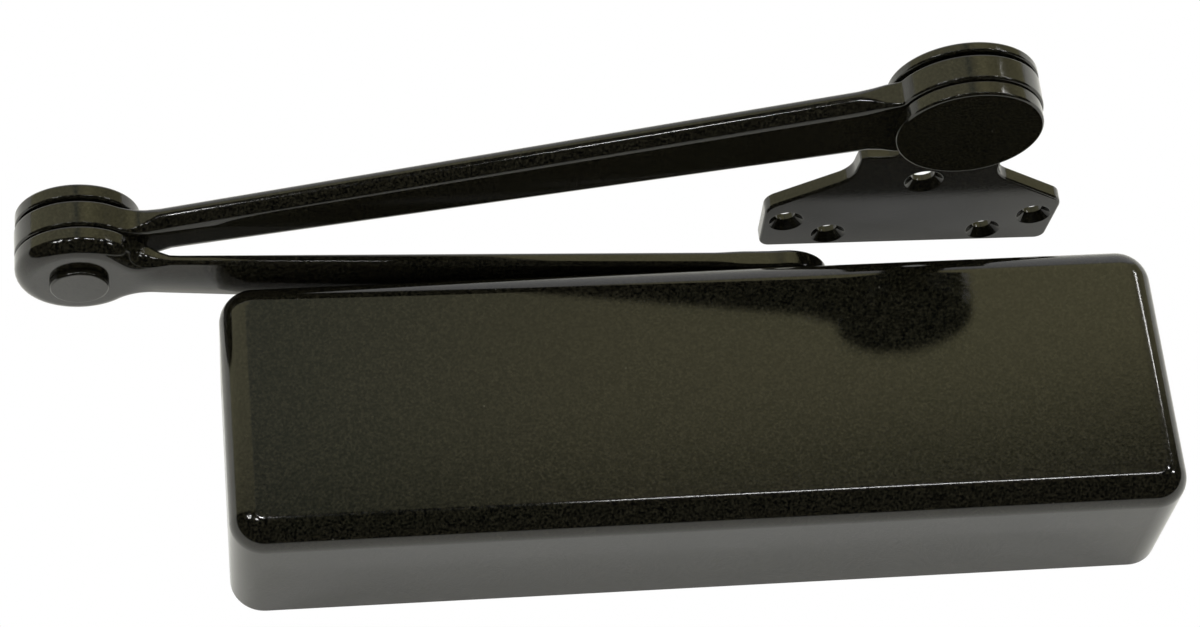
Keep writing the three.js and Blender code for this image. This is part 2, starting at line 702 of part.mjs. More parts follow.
// ---------------------------------------------------------------------------------------------------
// Cover clips, sprung over the catches inside the cover's ends, and the screws that hold them
// ---------------------------------------------------------------------------------------------------

const CLIP_TIP = COVER_INSIDE_END - REST_GAP;
const CLIP_RISER = HOLE_SPACING_X / 2 - MOUNTING_HOLE_RADIUS - CLIP_STRIP - THROUGH;
const CLIP_SCREW_X = CLIP_RISER - (CLIP_FOOT - CLIP_STRIP) / 2;
const CLIP_LIP_END = -BASE_THICKNESS - REST_GAP;
const CLIP_SHELF = CLIP_LIP_END - CLIP_LIP;

function clipScrewHole(side) {
  return rodY(CLIP_SCREW_RADIUS + REST_GAP, side * CLIP_SCREW_X, 0, -BASE_THICKNESS - THROUGH, THROUGH);
}

function rodY(radius, x, z, y0, y1, segments = 16) {
  const geometry = new THREE.CylinderGeometry(radius, radius, y1 - y0, segments);
  geometry.translate(x, (y0 + y1) / 2, z);
  return solidOf(geometry);
}

function coverClip(side) {
  const t = CLIP_STRIP;
  const foot = -BASE_THICKNESS - REST_GAP;
  const section = [
    [CLIP_RISER - CLIP_FOOT + t, foot],
    [CLIP_RISER - CLIP_FOOT + t, foot - t],
    [CLIP_RISER, foot - t],
    [CLIP_RISER, CLIP_SHELF],
    [CLIP_TIP, CLIP_SHELF],
    [CLIP_TIP, CLIP_LIP_END],
    [CLIP_TIP - t, CLIP_LIP_END],
    [CLIP_TIP - t, CLIP_SHELF + t],
    [CLIP_RISER + t, CLIP_SHELF + t],
    [CLIP_RISER + t, foot],
  ];
  const shape = new THREE.Shape(section.map(([x, y]) => new THREE.Vector2(side * x, y)));
  const strip = plateZ(shape, -CLIP_HALF_WIDTH, CLIP_HALF_WIDTH);
  return cut(strip, rodY(CLIP_SCREW_RADIUS + REST_GAP, side * CLIP_SCREW_X, 0, foot - t - THROUGH, THROUGH));
}

function clipScrew(side) {
  const seat = -BASE_THICKNESS - CLIP_STRIP - 2 * REST_GAP;
  const x = side * CLIP_SCREW_X;
  const head = rodY(CLIP_SCREW_HEAD_RADIUS, x, 0, seat - CLIP_SCREW_HEAD, seat);
  const shank = rodY(CLIP_SCREW_RADIUS, x, 0, seat - THROUGH, -REST_GAP);
  const half = VALVE_SLOT_WIDTH / 2;
  const slot = block(
    [x - CLIP_SCREW_HEAD_RADIUS - THROUGH, seat - CLIP_SCREW_HEAD - THROUGH, -half],
    [x + CLIP_SCREW_HEAD_RADIUS + THROUGH, seat - CLIP_SCREW_HEAD / 2, half],
  );
  return cut(union(head, shank), slot);
}

addPiece(closer, 'cylinder_body', CASTING_PAINT, cylinderBody());
addPiece(closer, 'cover_clip_left', ZINC, coverClip(-1));
addPiece(closer, 'cover_clip_right', ZINC, coverClip(1));
addPiece(closer, 'clip_screw_left', ZINC, clipScrew(-1));
addPiece(closer, 'clip_screw_right', ZINC, clipScrew(1));

// ---------------------------------------------------------------------------------------------------
// Pinion bearings, seals and nuts, the same above and below
// ---------------------------------------------------------------------------------------------------

function mirrored(solid, side) {
  return side > 0 ? solid : solid.mirror([0, 0, 1]);
}

function hexagonZ(acrossFlats, x, y, z0, z1) {
  return rodZ(acrossFlats / Math.sqrt(3), x, y, z0, z1, 6);
}

const NUT_BOTTOM = BOSS_END - NUT_DEPTH;
const SEAL_BOTTOM = NUT_BOTTOM - REST_GAP - SEAL_HEIGHT;
const BEARING_BOTTOM = COLLAR_END + REST_GAP;
const BEARING_TOP = SEAL_BOTTOM - REST_GAP;

for (const [side, level] of [[1, 'upper'], [-1, 'lower']]) {
  const outer = BOSS_BORE - REST_GAP;
  const bearing = ringZ(BEARING_BORE, outer, PINION_X, AXIS_Y, BEARING_BOTTOM, BEARING_TOP);
  const seal = ringZ(BEARING_BORE, outer, PINION_X, AXIS_Y, SEAL_BOTTOM, SEAL_BOTTOM + SEAL_HEIGHT);
  const flangeBottom = BOSS_END + REST_GAP;
  const flangeSize = 2 * (BOSS_BORE + NUT_FLANGE_STEP);
  const flange = hexagonZ(flangeSize, PINION_X, AXIS_Y, flangeBottom, BOSS_END + NUT_FLANGE);
  const nut = cut(
    union(rodZ(outer, PINION_X, AXIS_Y, NUT_BOTTOM, flangeBottom + REST_GAP), flange),
    rodZ(BEARING_BORE, PINION_X, AXIS_Y, NUT_BOTTOM - THROUGH, BOSS_END + NUT_FLANGE + THROUGH),
  );
  addPiece(closer, `${level}_bearing`, BEARING_BRONZE, mirrored(bearing, side));
  addPiece(closer, `${level}_pinion_seal`, SEAL_RUBBER, mirrored(seal, side));
  addPiece(closer, `${level}_bearing_nut`, STEEL, mirrored(nut, side));
}

// ---------------------------------------------------------------------------------------------------
// Springs, spring seat and adjusting screw
// ---------------------------------------------------------------------------------------------------

function coilSpring(radius, wire, pitch, stepsPerTurn) {
  const x0 = SPRING_LEFT + wire / 2;
  const x1 = SPRING_RIGHT - wire / 2;
  const turns = Math.round((x1 - x0) / pitch);
  const section = new THREE.Shape();
  section.absarc(0, 0, wire / 2, 0, 2 * Math.PI, false);
  const geometry = new THREE.ExtrudeGeometry(section, {
    steps: turns * stepsPerTurn,
    bevelEnabled: false,
    curveSegments: 3,
    extrudePath: new Helix(radius, x0, x1, turns),
  });
  return solidOf(geometry);
}

addPiece(closer, 'outer_spring', SPRING_STEEL, coilSpring(OUTER_SPRING_RADIUS, OUTER_WIRE, OUTER_PITCH, 10));
addPiece(closer, 'inner_spring', SPRING_STEEL, coilSpring(INNER_SPRING_RADIUS, INNER_WIRE, INNER_PITCH, 9));

const seatSpigotEnd = SPRING_LEFT + OUTER_WIRE;
const seatSpigotRadius = INNER_SPRING_RADIUS - INNER_WIRE / 2 - SPRING_WALL_GAP;
const seatSpigot = rodX(seatSpigotRadius, SEAT_LEFT, seatSpigotEnd);
const seatDisc = rodX(BORE_RADIUS - RUNNING_GAP, SEAT_LEFT, SEAT_LEFT + SEAT_THICKNESS);
const seatThread = rodX(ADJUSTER_RADIUS + RUNNING_GAP, SEAT_LEFT - THROUGH, seatSpigotEnd + THROUGH);
addPiece(closer, 'spring_seat', STEEL, cut(union(seatDisc, seatSpigot), seatThread));

function springAdjuster() {
  const capFace = -CYLINDER_END - REST_GAP - CAP_FLANGE;
  const headLeft = capFace - REST_GAP - ADJUSTER_HEAD_LENGTH;
  const tail = SPRING_LEFT + SEAT_TRAVEL + OUTER_WIRE + ADJUSTER_TAIL;
  const head = rodX(ADJUSTER_HEAD_RADIUS, headLeft, capFace - REST_GAP, 6);
  const collarLeft = CAP_INNER_FACE + REST_GAP;
  const collar = rodX(ADJUSTER_COLLAR_RADIUS, collarLeft, CAP_INNER_FACE + ADJUSTER_COLLAR);
  return union(rodX(ADJUSTER_RADIUS, headLeft + THROUGH, tail, COARSE), head, collar);
}

addPiece(closer, 'spring_adjuster', STEEL, springAdjuster());

// ---------------------------------------------------------------------------------------------------
// Piston: two heads joined by two side walls, one of which carries the rack
// ---------------------------------------------------------------------------------------------------

function rackTeeth() {
  const pitch = Math.PI * GEAR_MODULE;
  const slope = Math.tan(PRESSURE_ANGLE);
  const halfSpace = pitch / 4 + GEAR_BACKLASH / 4;
  const tip = PITCH_RADIUS - RACK_ADDENDUM;
  const root = PITCH_RADIUS + RACK_DEDENDUM;
  const landLeft = WINDOW_LEFT - THROUGH;
  const landRight = WINDOW_RIGHT + THROUGH;
  const back = WINDOW_HALF_WIDTH + THROUGH;
  const outline = [[landLeft, back], [landLeft, tip]];
  const first = Math.ceil((WINDOW_LEFT + halfSpace) / pitch);
  const last = Math.floor((WINDOW_RIGHT - halfSpace) / pitch);
  for (let i = first; i <= last; i += 1) {
    const x = i * pitch;
    const atTip = halfSpace + RACK_ADDENDUM * slope;
    const atRoot = halfSpace - RACK_DEDENDUM * slope;
    outline.push([x - atTip, tip], [x - atRoot, root], [x + atRoot, root], [x + atTip, tip]);
  }
  outline.push([landRight, tip], [landRight, back]);
  const shape = new THREE.Shape(outline.map(([x, y]) => new THREE.Vector2(PINION_X + x, AXIS_Y + y)));
  const halfWidth = GEAR_HALF_WIDTH - REST_GAP;
  return plateZ(shape, -halfWidth, halfWidth);
}

const VALVE_HEAD_LEFT = PINION_X + WINDOW_RIGHT;
const CHECK_BORE = CHECK_BALL_RADIUS + REST_GAP;
const CHECK_SEAT = VALVE_HEAD_LEFT + PISTON_VALVE_HEAD / 2;
const CHECK_BALL_X = CHECK_SEAT + CHECK_BALL_RADIUS + REST_GAP;
const RING_X = PINION_X + PISTON_RIGHT - PISTON_RING_WIDTH;

function piston() {
  const left = PINION_X + PISTON_LEFT;
  const right = PINION_X + PISTON_RIGHT;
  const windowCut = block(
    [PINION_X + WINDOW_LEFT, AXIS_Y - WINDOW_HALF_WIDTH, -BORE_RADIUS],
    [PINION_X + WINDOW_RIGHT, AXIS_Y + WINDOW_HALF_WIDTH, BORE_RADIUS],
  );
  const shell = cut(rodX(PISTON_RADIUS, left, right, FINE), windowCut);
  const spigot = rodX(PISTON_SPIGOT_RADIUS, left - PISTON_SPIGOT_LENGTH, left + THROUGH, COARSE);
  return cut(
    union(shell, spigot, rackTeeth()),
    ringX(
      PISTON_RADIUS - PISTON_RING_DEPTH,
      PISTON_RADIUS + THROUGH,
      RING_X - PISTON_RING_WIDTH,
      RING_X,
      FINE,
    ),
    rodX(CHECK_BORE, CHECK_SEAT, right + THROUGH, 16),
    rodX(CHECK_BALL_RADIUS * 0.6, VALVE_HEAD_LEFT - THROUGH, CHECK_SEAT + THROUGH, 12),
  );
}

const ring = ringX(
  PISTON_RADIUS - PISTON_RING_DEPTH + REST_GAP,
  PISTON_RADIUS,
  RING_X - PISTON_RING_WIDTH + REST_GAP,
  RING_X - REST_GAP,
  FINE,
);
const ballGeometry = new THREE.SphereGeometry(CHECK_BALL_RADIUS, 12, 8);
ballGeometry.translate(CHECK_BALL_X, AXIS_Y, 0);
const retainerLeft = CHECK_BALL_X + CHECK_BALL_RADIUS + CHECK_BALL_TRAVEL + REST_GAP;
const retainerRight = PINION_X + PISTON_RIGHT - REST_GAP;
const retainer = cut(
  rodX(CHECK_BORE - REST_GAP / 2, retainerLeft, retainerRight, 16),
  rodX(CHECK_BALL_RADIUS / 2, retainerLeft - THROUGH, retainerRight + THROUGH, 12),
);

addPiece(closer, 'piston', STEEL, piston());
addPiece(closer, 'piston_ring', SEAL_RUBBER, ring);
addPiece(closer, 'check_ball', STEEL, solidOf(ballGeometry));
addPiece(closer, 'check_ball_retainer', STEEL, retainer);

// ---------------------------------------------------------------------------------------------------
// Regulating valves
// ---------------------------------------------------------------------------------------------------

VALVE_NAMES.forEach((name, i) => {
  const x = valveX(i);
  const headTop = VALVE_FACE - REST_GAP;
  const tip = VALVE_FACE + VALVE_DEPTH - REST_GAP;
  const grooveTop = VALVE_FACE + VALVE_DEPTH / 2;
  const grooveFloor = VALVE_STEM_RADIUS - VALVE_SEAL_DEPTH;
  const half = VALVE_SLOT_WIDTH / 2;
  const screw = turnedZ(
    [
      [0, headTop - VALVE_HEAD_HEIGHT],
      [VALVE_HEAD_RADIUS, headTop - VALVE_HEAD_HEIGHT],
      [VALVE_HEAD_RADIUS, headTop],
      [VALVE_STEM_RADIUS, headTop],
      [VALVE_STEM_RADIUS, grooveTop - VALVE_SEAL_WIDTH],
      [grooveFloor, grooveTop - VALVE_SEAL_WIDTH],
      [grooveFloor, grooveTop],
      [VALVE_STEM_RADIUS, grooveTop],
      [VALVE_STEM_RADIUS, tip - VALVE_STEM_RADIUS],
      [VALVE_STEM_RADIUS / 3, tip],
      [0, tip],
    ],
    x,
    AXIS_Y,
    COARSE,
  );
  const slot = block(
    [x - VALVE_HEAD_RADIUS - THROUGH, AXIS_Y - half, headTop - VALVE_HEAD_HEIGHT - THROUGH],
    [x + VALVE_HEAD_RADIUS + THROUGH, AXIS_Y + half, headTop - VALVE_HEAD_HEIGHT / 2],
  );
  const sealGap = REST_GAP / 2;
  const seal = ringZ(
    grooveFloor + sealGap,
    VALVE_STEM_RADIUS,
    x,
    AXIS_Y,
    grooveTop - VALVE_SEAL_WIDTH + REST_GAP,
    grooveTop - REST_GAP,
    COARSE,
  );
  addPiece(closer, `${name}_valve`, ZINC, cut(screw, slot));
  addPiece(closer, `${name}_valve_seal`, SEAL_RUBBER, seal);
});

// ---------------------------------------------------------------------------------------------------
// Pinion shaft and main arm
// ---------------------------------------------------------------------------------------------------

function gearOutline() {
  const baseRadius = PITCH_RADIUS * Math.cos(PRESSURE_ANGLE);
  const rootRadius = PITCH_RADIUS - GEAR_DEDENDUM;
  const involute = (angle) => Math.tan(angle) - angle;
  const halfTooth = ((Math.PI * GEAR_MODULE) / 2 - GEAR_BACKLASH / 2) / (2 * PITCH_RADIUS);
  const flankAngle = (radius) => {
    return halfTooth + involute(PRESSURE_ANGLE) - involute(Math.acos(baseRadius / radius));
  };
  const flankSteps = 3;
  const flank = [[rootRadius, flankAngle(baseRadius)]];
  for (let step = 0; step <= flankSteps; step += 1) {
    const radius = baseRadius + ((GEAR_TIP_RADIUS - baseRadius) * step) / flankSteps;
    flank.push([radius, flankAngle(radius)]);
  }
  const points = [];
  for (let tooth = 0; tooth < GEAR_TEETH; tooth += 1) {
    const middle = Math.PI / 2 - MAIN_ARM_ANGLE + (tooth * 2 * Math.PI) / GEAR_TEETH;
    const place = ([radius, angle]) =>
      points.push(new THREE.Vector2(radius * Math.cos(middle + angle), radius * Math.sin(middle + angle)));
    flank.map(([radius, angle]) => [radius, -angle]).forEach(place);
    [...flank].reverse().forEach(place);
  }
  return new THREE.Shape(points);
}

function squareZ(size, z0, z1) {
  return block([-size / 2, -size / 2, z0], [size / 2, size / 2, z1]);
}

const SPINDLE_BOTTOM = -(COVER_INSIDE_HEIGHT - SPINDLE_END_CLEARANCE);
const SQUARE_BOTTOM = ARM_BOTTOM - REST_GAP;
const SQUARE_TOP = HUB_RECESS_FLOOR - REST_GAP;
const ARM_SCREW_SEAT = HUB_RECESS_FLOOR + ARM_WASHER_THICKNESS + 2 * REST_GAP;
const ARM_SCREW_TIP = ARM_SCREW_SEAT - ARM_SCREW_DEPTH;

function pinion() {
  return cut(
    union(
      plateZ(gearOutline(), -GEAR_HALF_WIDTH - THROUGH, GEAR_HALF_WIDTH + THROUGH),
      rodZ(COLLAR_RADIUS, 0, 0, GEAR_HALF_WIDTH, COLLAR_END, FINE),
      rodZ(COLLAR_RADIUS, 0, 0, -COLLAR_END, -GEAR_HALF_WIDTH, FINE),
      rodZ(JOURNAL_RADIUS, 0, 0, SPINDLE_BOTTOM, -COLLAR_END + THROUGH),
      rodZ(JOURNAL_RADIUS, 0, 0, COLLAR_END - THROUGH, SQUARE_BOTTOM),
      squareZ(SQUARE_SIZE, SQUARE_BOTTOM - THROUGH, SQUARE_TOP),
    ),
    rodZ(ARM_SCREW_RADIUS + REST_GAP, 0, 0, ARM_SCREW_TIP - THROUGH, SQUARE_TOP + THROUGH, COARSE),
  );
}

// A bar's section at x, with round edges and faces that are crowned in the middle.
function barSection(x, halfWidth, z0, z1, crown, lowerRadius, upperRadius) {
  const steps = 4;
  const halfEdge = (z1 - z0) / 2 - crown;
  const points = [];
  for (let corner = 0; corner < 4; corner += 1) {
    const radius = corner < 2 ? upperRadius : lowerRadius;
    const signY = corner === 0 || corner === 3 ? 1 : -1;
    const signZ = corner < 2 ? 1 : -1;
    for (let step = 0; step <= steps; step += 1) {
      const angle = (corner + step / steps) * (Math.PI / 2);
      const y = signY * (halfWidth - radius) + radius * Math.cos(angle);
      points.push([y, signZ * (halfEdge - radius) + radius * Math.sin(angle)]);
    }
    for (let step = 1; step < steps && corner % 2 === 0; step += 1) {
      points.push([signY * (halfWidth - radius) * (1 - (2 * step) / steps), signZ * halfEdge]);
    }
  }
  return points.map(([y, z]) => {
    const rise = Math.sign(z) * crown * (1 - (y / halfWidth) ** 2);
    return new THREE.Vector3(x, y, (z0 + z1) / 2 + z + rise);
  });
}

function at(solid, x) {
  return solid.translate([x, 0, 0]);
}

function mainEye() {
  const steps = 5;
  const profile = [[0, ARM_BOTTOM]];
  for (let step = 0; step <= steps; step += 1) {
    const angle = (step / steps) * (Math.PI / 2);
    const radius = ELBOW_RADIUS - MAIN_EYE_ROUNDING * (1 - Math.sin(angle));
    profile.push([radius, ARM_BOTTOM + MAIN_EYE_ROUNDING * (1 - Math.cos(angle))]);
  }
  profile.push(
    [ELBOW_RADIUS, MAIN_EYE_TOP - EYE_CHAMFER],
    [ELBOW_RADIUS - EYE_CHAMFER, MAIN_EYE_TOP],
    [0, MAIN_EYE_TOP],
  );
  return turnedZ(profile, 0, 0, FINE);
}

function mainArm() {
  const section = (x, halfWidth, crown) => {
    const radius = MAIN_BAR_EDGE_RADIUS;
    return barSection(x, halfWidth, ARM_BOTTOM, MAIN_BAR_TOP, crown, radius, radius);
  };
  return cut(
    union(
      discZ(HUB_RADIUS, ARM_BOTTOM, MAIN_BAR_TOP, EYE_CHAMFER, MAIN_BAR_EDGE_RADIUS),
      loft([
        section(0, MAIN_BAR_HALF_WIDTH_AT_HUB, MAIN_BAR_CROWN_AT_HUB),
        section(MAIN_ARM_LENGTH, MAIN_BAR_HALF_WIDTH_AT_ELBOW, MAIN_BAR_CROWN_AT_ELBOW),
      ]),
      at(mainEye(), MAIN_ARM_LENGTH),
    ),
    squareZ(SQUARE_SIZE + 2 * REST_GAP, ARM_BOTTOM - THROUGH, MAIN_BAR_TOP),
    rodZ(ARM_WASHER_RADIUS + REST_GAP, 0, 0, HUB_RECESS_FLOOR, MAIN_BAR_TOP + THROUGH),
    rodZ(ELBOW_PIN_RADIUS + REST_GAP, MAIN_ARM_LENGTH, 0, ARM_BOTTOM - THROUGH, MAIN_EYE_TOP + THROUGH),
  );
}

const pinHeadTop = ARM_BOTTOM - REST_GAP;
const elbowPin = union(
  discZ(ELBOW_PIN_HEAD_RADIUS, pinHeadTop - ELBOW_PIN_HEAD, pinHeadTop, EYE_CHAMFER, EYE_CHAMFER / 4, MEDIUM),
  rodZ(ELBOW_PIN_RADIUS, 0, 0, pinHeadTop - THROUGH, DISC_BOTTOM + ELBOW_CAP_THICKNESS / 2),
);
const capSocketTop = DISC_BOTTOM + ELBOW_CAP_THICKNESS / 2 + REST_GAP;
const elbowCap = cut(
  discZ(ELBOW_CAP_RADIUS, DISC_BOTTOM, ELBOW_CAP_TOP, EYE_CHAMFER / 2, EYE_CHAMFER),
  rodZ(ELBOW_PIN_RADIUS + REST_GAP, 0, 0, DISC_BOTTOM - THROUGH, capSocketTop),
);
const armScrew = cut(
  union(
    rodZ(ARM_SCREW_HEAD_RADIUS, 0, 0, ARM_SCREW_SEAT, ARM_SCREW_SEAT + ARM_SCREW_HEAD, COARSE),
    rodZ(ARM_SCREW_RADIUS, 0, 0, ARM_SCREW_TIP, ARM_SCREW_SEAT + THROUGH, COARSE),
  ),
  hexagonZ(
    ARM_SCREW_HEAD_RADIUS,
    0,
    0,
    ARM_SCREW_SEAT + ARM_SCREW_HEAD - ARM_SCREW_SOCKET,
    ARM_SCREW_SEAT + ARM_SCREW_HEAD + THROUGH,
  ),
);
const armWasher = ringZ(
  ARM_SCREW_RADIUS + REST_GAP,
  ARM_WASHER_RADIUS,
  0,
  0,
  HUB_RECESS_FLOOR + REST_GAP,
  HUB_RECESS_FLOOR + REST_GAP + ARM_WASHER_THICKNESS,
);

addPiece(mainArmGroup, 'pinion', STEEL, pinion());
addPiece(mainArmGroup, 'main_arm', BRONZE_PAINT, mainArm());
addPiece(mainArmGroup, 'arm_screw', BRONZE_PAINT, armScrew);
addPiece(mainArmGroup, 'arm_washer', ZINC, armWasher);
addPiece(mainArmGroup, 'elbow_pin', BRONZE_PAINT, at(elbowPin, MAIN_ARM_LENGTH));
addPiece(mainArmGroup, 'elbow_cap', BRONZE_PAINT, at(elbowCap, MAIN_ARM_LENGTH));

// ---------------------------------------------------------------------------------------------------
// Forearm, its bushes and washers, and the bumpers of the stop
// ---------------------------------------------------------------------------------------------------

const ELBOW_BUSH_BORE = ELBOW_PIN_RADIUS + RUNNING_GAP;
const ELBOW_EYE_BORE = ELBOW_BUSH_BORE + BUSH_WALL + REST_GAP;
const SHOE_BUSH_BORE = SHOE_STUD_RADIUS + RUNNING_GAP;
const SHOE_EYE_BORE = SHOE_BUSH_BORE + BUSH_WALL + REST_GAP;
const POCKET_FLOOR = FOREARM_TOP - STOP_POCKET_DEPTH;
const POCKET_START = STOP_LUG_ANGLE - STOP_LUG_HALF_ANGLE - SHOE_TURN_BACK - STOP_PAD_ANGLE;
const POCKET_END = STOP_LUG_ANGLE + STOP_LUG_HALF_ANGLE + SHOE_TURN_FORWARD + STOP_PAD_ANGLE;
const STOP_SLACK = THREE.MathUtils.degToRad(2);

function forearm() {
  const top = FOREARM_TOP - FOREARM_BAR_RELIEF;
  const bottom = top - FOREARM_BAR_THICKNESS;
  const radii = [FOREARM_LOWER_EDGE_RADIUS, FOREARM_UPPER_EDGE_RADIUS];
  const span = [FOREARM_BOTTOM - THROUGH, FOREARM_TOP + THROUGH];
  const pocketHeights = [POCKET_FLOOR, FOREARM_TOP + THROUGH];
  const pocket = sectorZ(STOP_INNER_RADIUS, STOP_OUTER_RADIUS, POCKET_START, POCKET_END, ...pocketHeights);
  return cut(
    union(
      discZ(ELBOW_RADIUS, FOREARM_BOTTOM, FOREARM_TOP, EYE_CHAMFER, EYE_CHAMFER),
      loft([
        barSection(0, FOREARM_HALF_WIDTH_AT_ELBOW, bottom, top, 0, ...radii),
        barSection(FOREARM_LENGTH, FOREARM_HALF_WIDTH_AT_SHOE, bottom, top, 0, ...radii),
      ]),
      at(discZ(SHOE_EYE_RADIUS, FOREARM_BOTTOM, FOREARM_TOP, EYE_CHAMFER, EYE_CHAMFER), FOREARM_LENGTH),
    ),
    rodZ(ELBOW_EYE_BORE, 0, 0, ...span),
    rodZ(SHOE_EYE_BORE, FOREARM_LENGTH, 0, ...span),
    at(pocket, FOREARM_LENGTH),
  );
}

// A bumper fills one end of the pocket, short of the lug by the stop's slack.
function bumper(from, to) {
  const inner = STOP_INNER_RADIUS + REST_GAP;
  const outer = STOP_OUTER_RADIUS - REST_GAP;
  return at(sectorZ(inner, outer, from, to, POCKET_FLOOR + REST_GAP, FOREARM_TOP - REST_GAP), FOREARM_LENGTH);
}

function springWasher(bore, x) {
  const z0 = FOREARM_TOP + REST_GAP;
  return ringZ(bore, bore + WASHER_WIDTH, x, 0, z0, z0 + WASHER_THICKNESS);
}

const bushTop = FOREARM_TOP - REST_GAP / 2;
const bushBottom = FOREARM_BOTTOM + REST_GAP / 2;
const elbowBush = ringZ(ELBOW_BUSH_BORE, ELBOW_BUSH_BORE + BUSH_WALL, 0, 0, bushBottom, bushTop);
const shoeBush = ringZ(SHOE_BUSH_BORE, SHOE_BUSH_BORE + BUSH_WALL, FOREARM_LENGTH, 0, bushBottom, bushTop);
const padStart = POCKET_START + STOP_SLACK / 2;
const padEnd = POCKET_END - STOP_SLACK / 2;

addPiece(forearmGroup, 'forearm', BRONZE_PAINT, forearm());
addPiece(forearmGroup, 'elbow_bush', BEARING_BRONZE, elbowBush);
addPiece(forearmGroup, 'shoe_bush', BEARING_BRONZE, shoeBush);
addPiece(forearmGroup, 'elbow_spring_washer', SPRING_STEEL, springWasher(ELBOW_BUSH_BORE, 0));
addPiece(forearmGroup, 'shoe_spring_washer', SPRING_STEEL, springWasher(SHOE_BUSH_BORE, FOREARM_LENGTH));
addPiece(
  forearmGroup,
  'closing_bumper',
  BUMPER_RUBBER,
  bumper(padStart, POCKET_START + STOP_PAD_ANGLE - STOP_SLACK),
);
addPiece(
  forearmGroup,
  'opening_bumper',
  BUMPER_RUBBER,
  bumper(POCKET_END - STOP_PAD_ANGLE + STOP_SLACK, padEnd),
);

// ---------------------------------------------------------------------------------------------------
// Shoe: plate with neck, upper disc with the stop lug, lower disc and pivot stud
// ---------------------------------------------------------------------------------------------------

function shoePlateOutline() {
  const side = (sign) => [
    [sign * SHOE_PLATE_HALF_LENGTH, SHOE_PLATE_EDGE, 3],
    [sign * SHOE_CORNER_HALF_LENGTH, SHOE_CORNER, 6],
    [sign * (SHOE_NECK_HALF_WIDTH + 1), SHOE_NECK_ROOT, 6],
    [sign * SHOE_NECK_HALF_WIDTH, SHOE_NECK_END, 2],
    [sign * SHOE_WEB_HALF_WIDTH, SHOE_NECK_END, 3],
    [sign * SHOE_WEB_HALF_WIDTH, 0, 1],
  ];
  return roundedOutline([...side(1), ...side(-1).reverse()]);
}

function screwHole({ x, y, radius, sink }) {
  const bottom = SHOE_PLATE_BOTTOM;
  return turnedZ(
    [
      [0, bottom - THROUGH],
      [sink + THROUGH, bottom - THROUGH],
      [sink, bottom],
      [radius, bottom + SINK_DEPTH],
      [radius, SHOE_PLATE_TOP + THROUGH],
      [0, SHOE_PLATE_TOP + THROUGH],
    ],
    x,
    y,
    16,
  );
}

// The plate and the upper disc are drawn with the plate towards +Y of the shoe.
const studSeatRadius = SHOE_STUD_HEAD_RADIUS + REST_GAP;
const studSeatFloor = SHOE_PLATE_TOP - SHOE_STUD_HEAD - REST_GAP;
const studBore = SHOE_STUD_RADIUS + REST_GAP;
const shoePlate = cut(
  union(
    plateZ(shoePlateOutline(), SHOE_PLATE_BOTTOM, SHOE_PLATE_TOP, 3),
    rodZ(SHOE_BOSS_RADIUS, 0, 0, SHOE_PLATE_BOTTOM, SHOE_PLATE_TOP, FINE),
  ),
  rodZ(studBore, 0, 0, SHOE_PLATE_BOTTOM - THROUGH, SHOE_PLATE_TOP + THROUGH),
  rodZ(studSeatRadius, 0, 0, studSeatFloor, SHOE_PLATE_TOP + THROUGH),
  ...SHOE_SCREW_HOLES.map(screwHole),
);

// In the shoe's own frame the forearm's direction lies SHOE_TURN behind the plate's.
const lugMiddle = STOP_LUG_ANGLE - SHOE_TURN;
const upperDisc = cut(
  union(
    discZ(SHOE_EYE_RADIUS, DISC_BOTTOM, SHOE_UPPER_TOP, EYE_CHAMFER / 2, EYE_CHAMFER),
    sectorZ(
      STOP_INNER_RADIUS + RUNNING_GAP,
      STOP_OUTER_RADIUS - RUNNING_GAP,
      lugMiddle - STOP_LUG_HALF_ANGLE,
      lugMiddle + STOP_LUG_HALF_ANGLE,
      POCKET_FLOOR + RUNNING_GAP,
      DISC_BOTTOM + THROUGH,
    ),
  ),
  rodZ(studBore, 0, 0, DISC_BOTTOM - THROUGH, SHOE_UPPER_TOP + THROUGH),
);
const studSocketDepth = SHOE_LOWER_DISC / 2;
const lowerDisc = cut(
  discZ(SHOE_LOWER_RADIUS, SHOE_LOWER_BOTTOM, SHOE_LOWER_TOP, EYE_CHAMFER, EYE_CHAMFER / 2),
  rodZ(studBore, 0, 0, SHOE_LOWER_TOP - studSocketDepth - REST_GAP, SHOE_LOWER_TOP + THROUGH),
);
const pivotStud = union(
  rodZ(SHOE_STUD_RADIUS, 0, 0, SHOE_LOWER_TOP - studSocketDepth, SHOE_PLATE_TOP - REST_GAP),
  rodZ(SHOE_STUD_HEAD_RADIUS, 0, 0, SHOE_PLATE_TOP - SHOE_STUD_HEAD, SHOE_PLATE_TOP - REST_GAP),
);

addPiece(shoeGroup, 'shoe_plate', BRONZE_PAINT, shoePlate);
addPiece(shoeGroup, 'shoe_upper_disc', BRONZE_PAINT, upperDisc);
addPiece(shoeGroup, 'shoe_lower_disc', BRONZE_PAINT, lowerDisc);
addPiece(shoeGroup, 'shoe_pivot_stud', STEEL, pivotStud);

export default closer;
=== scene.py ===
"""Looks of the surface door closer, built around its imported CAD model.

Lengths are metres in the CAD frame: X along the closer, Y into the door, Z up along the spindle.
"""

import json
import math

import bmesh
import bpy
import numpy as np
from mathutils import Matrix, Vector


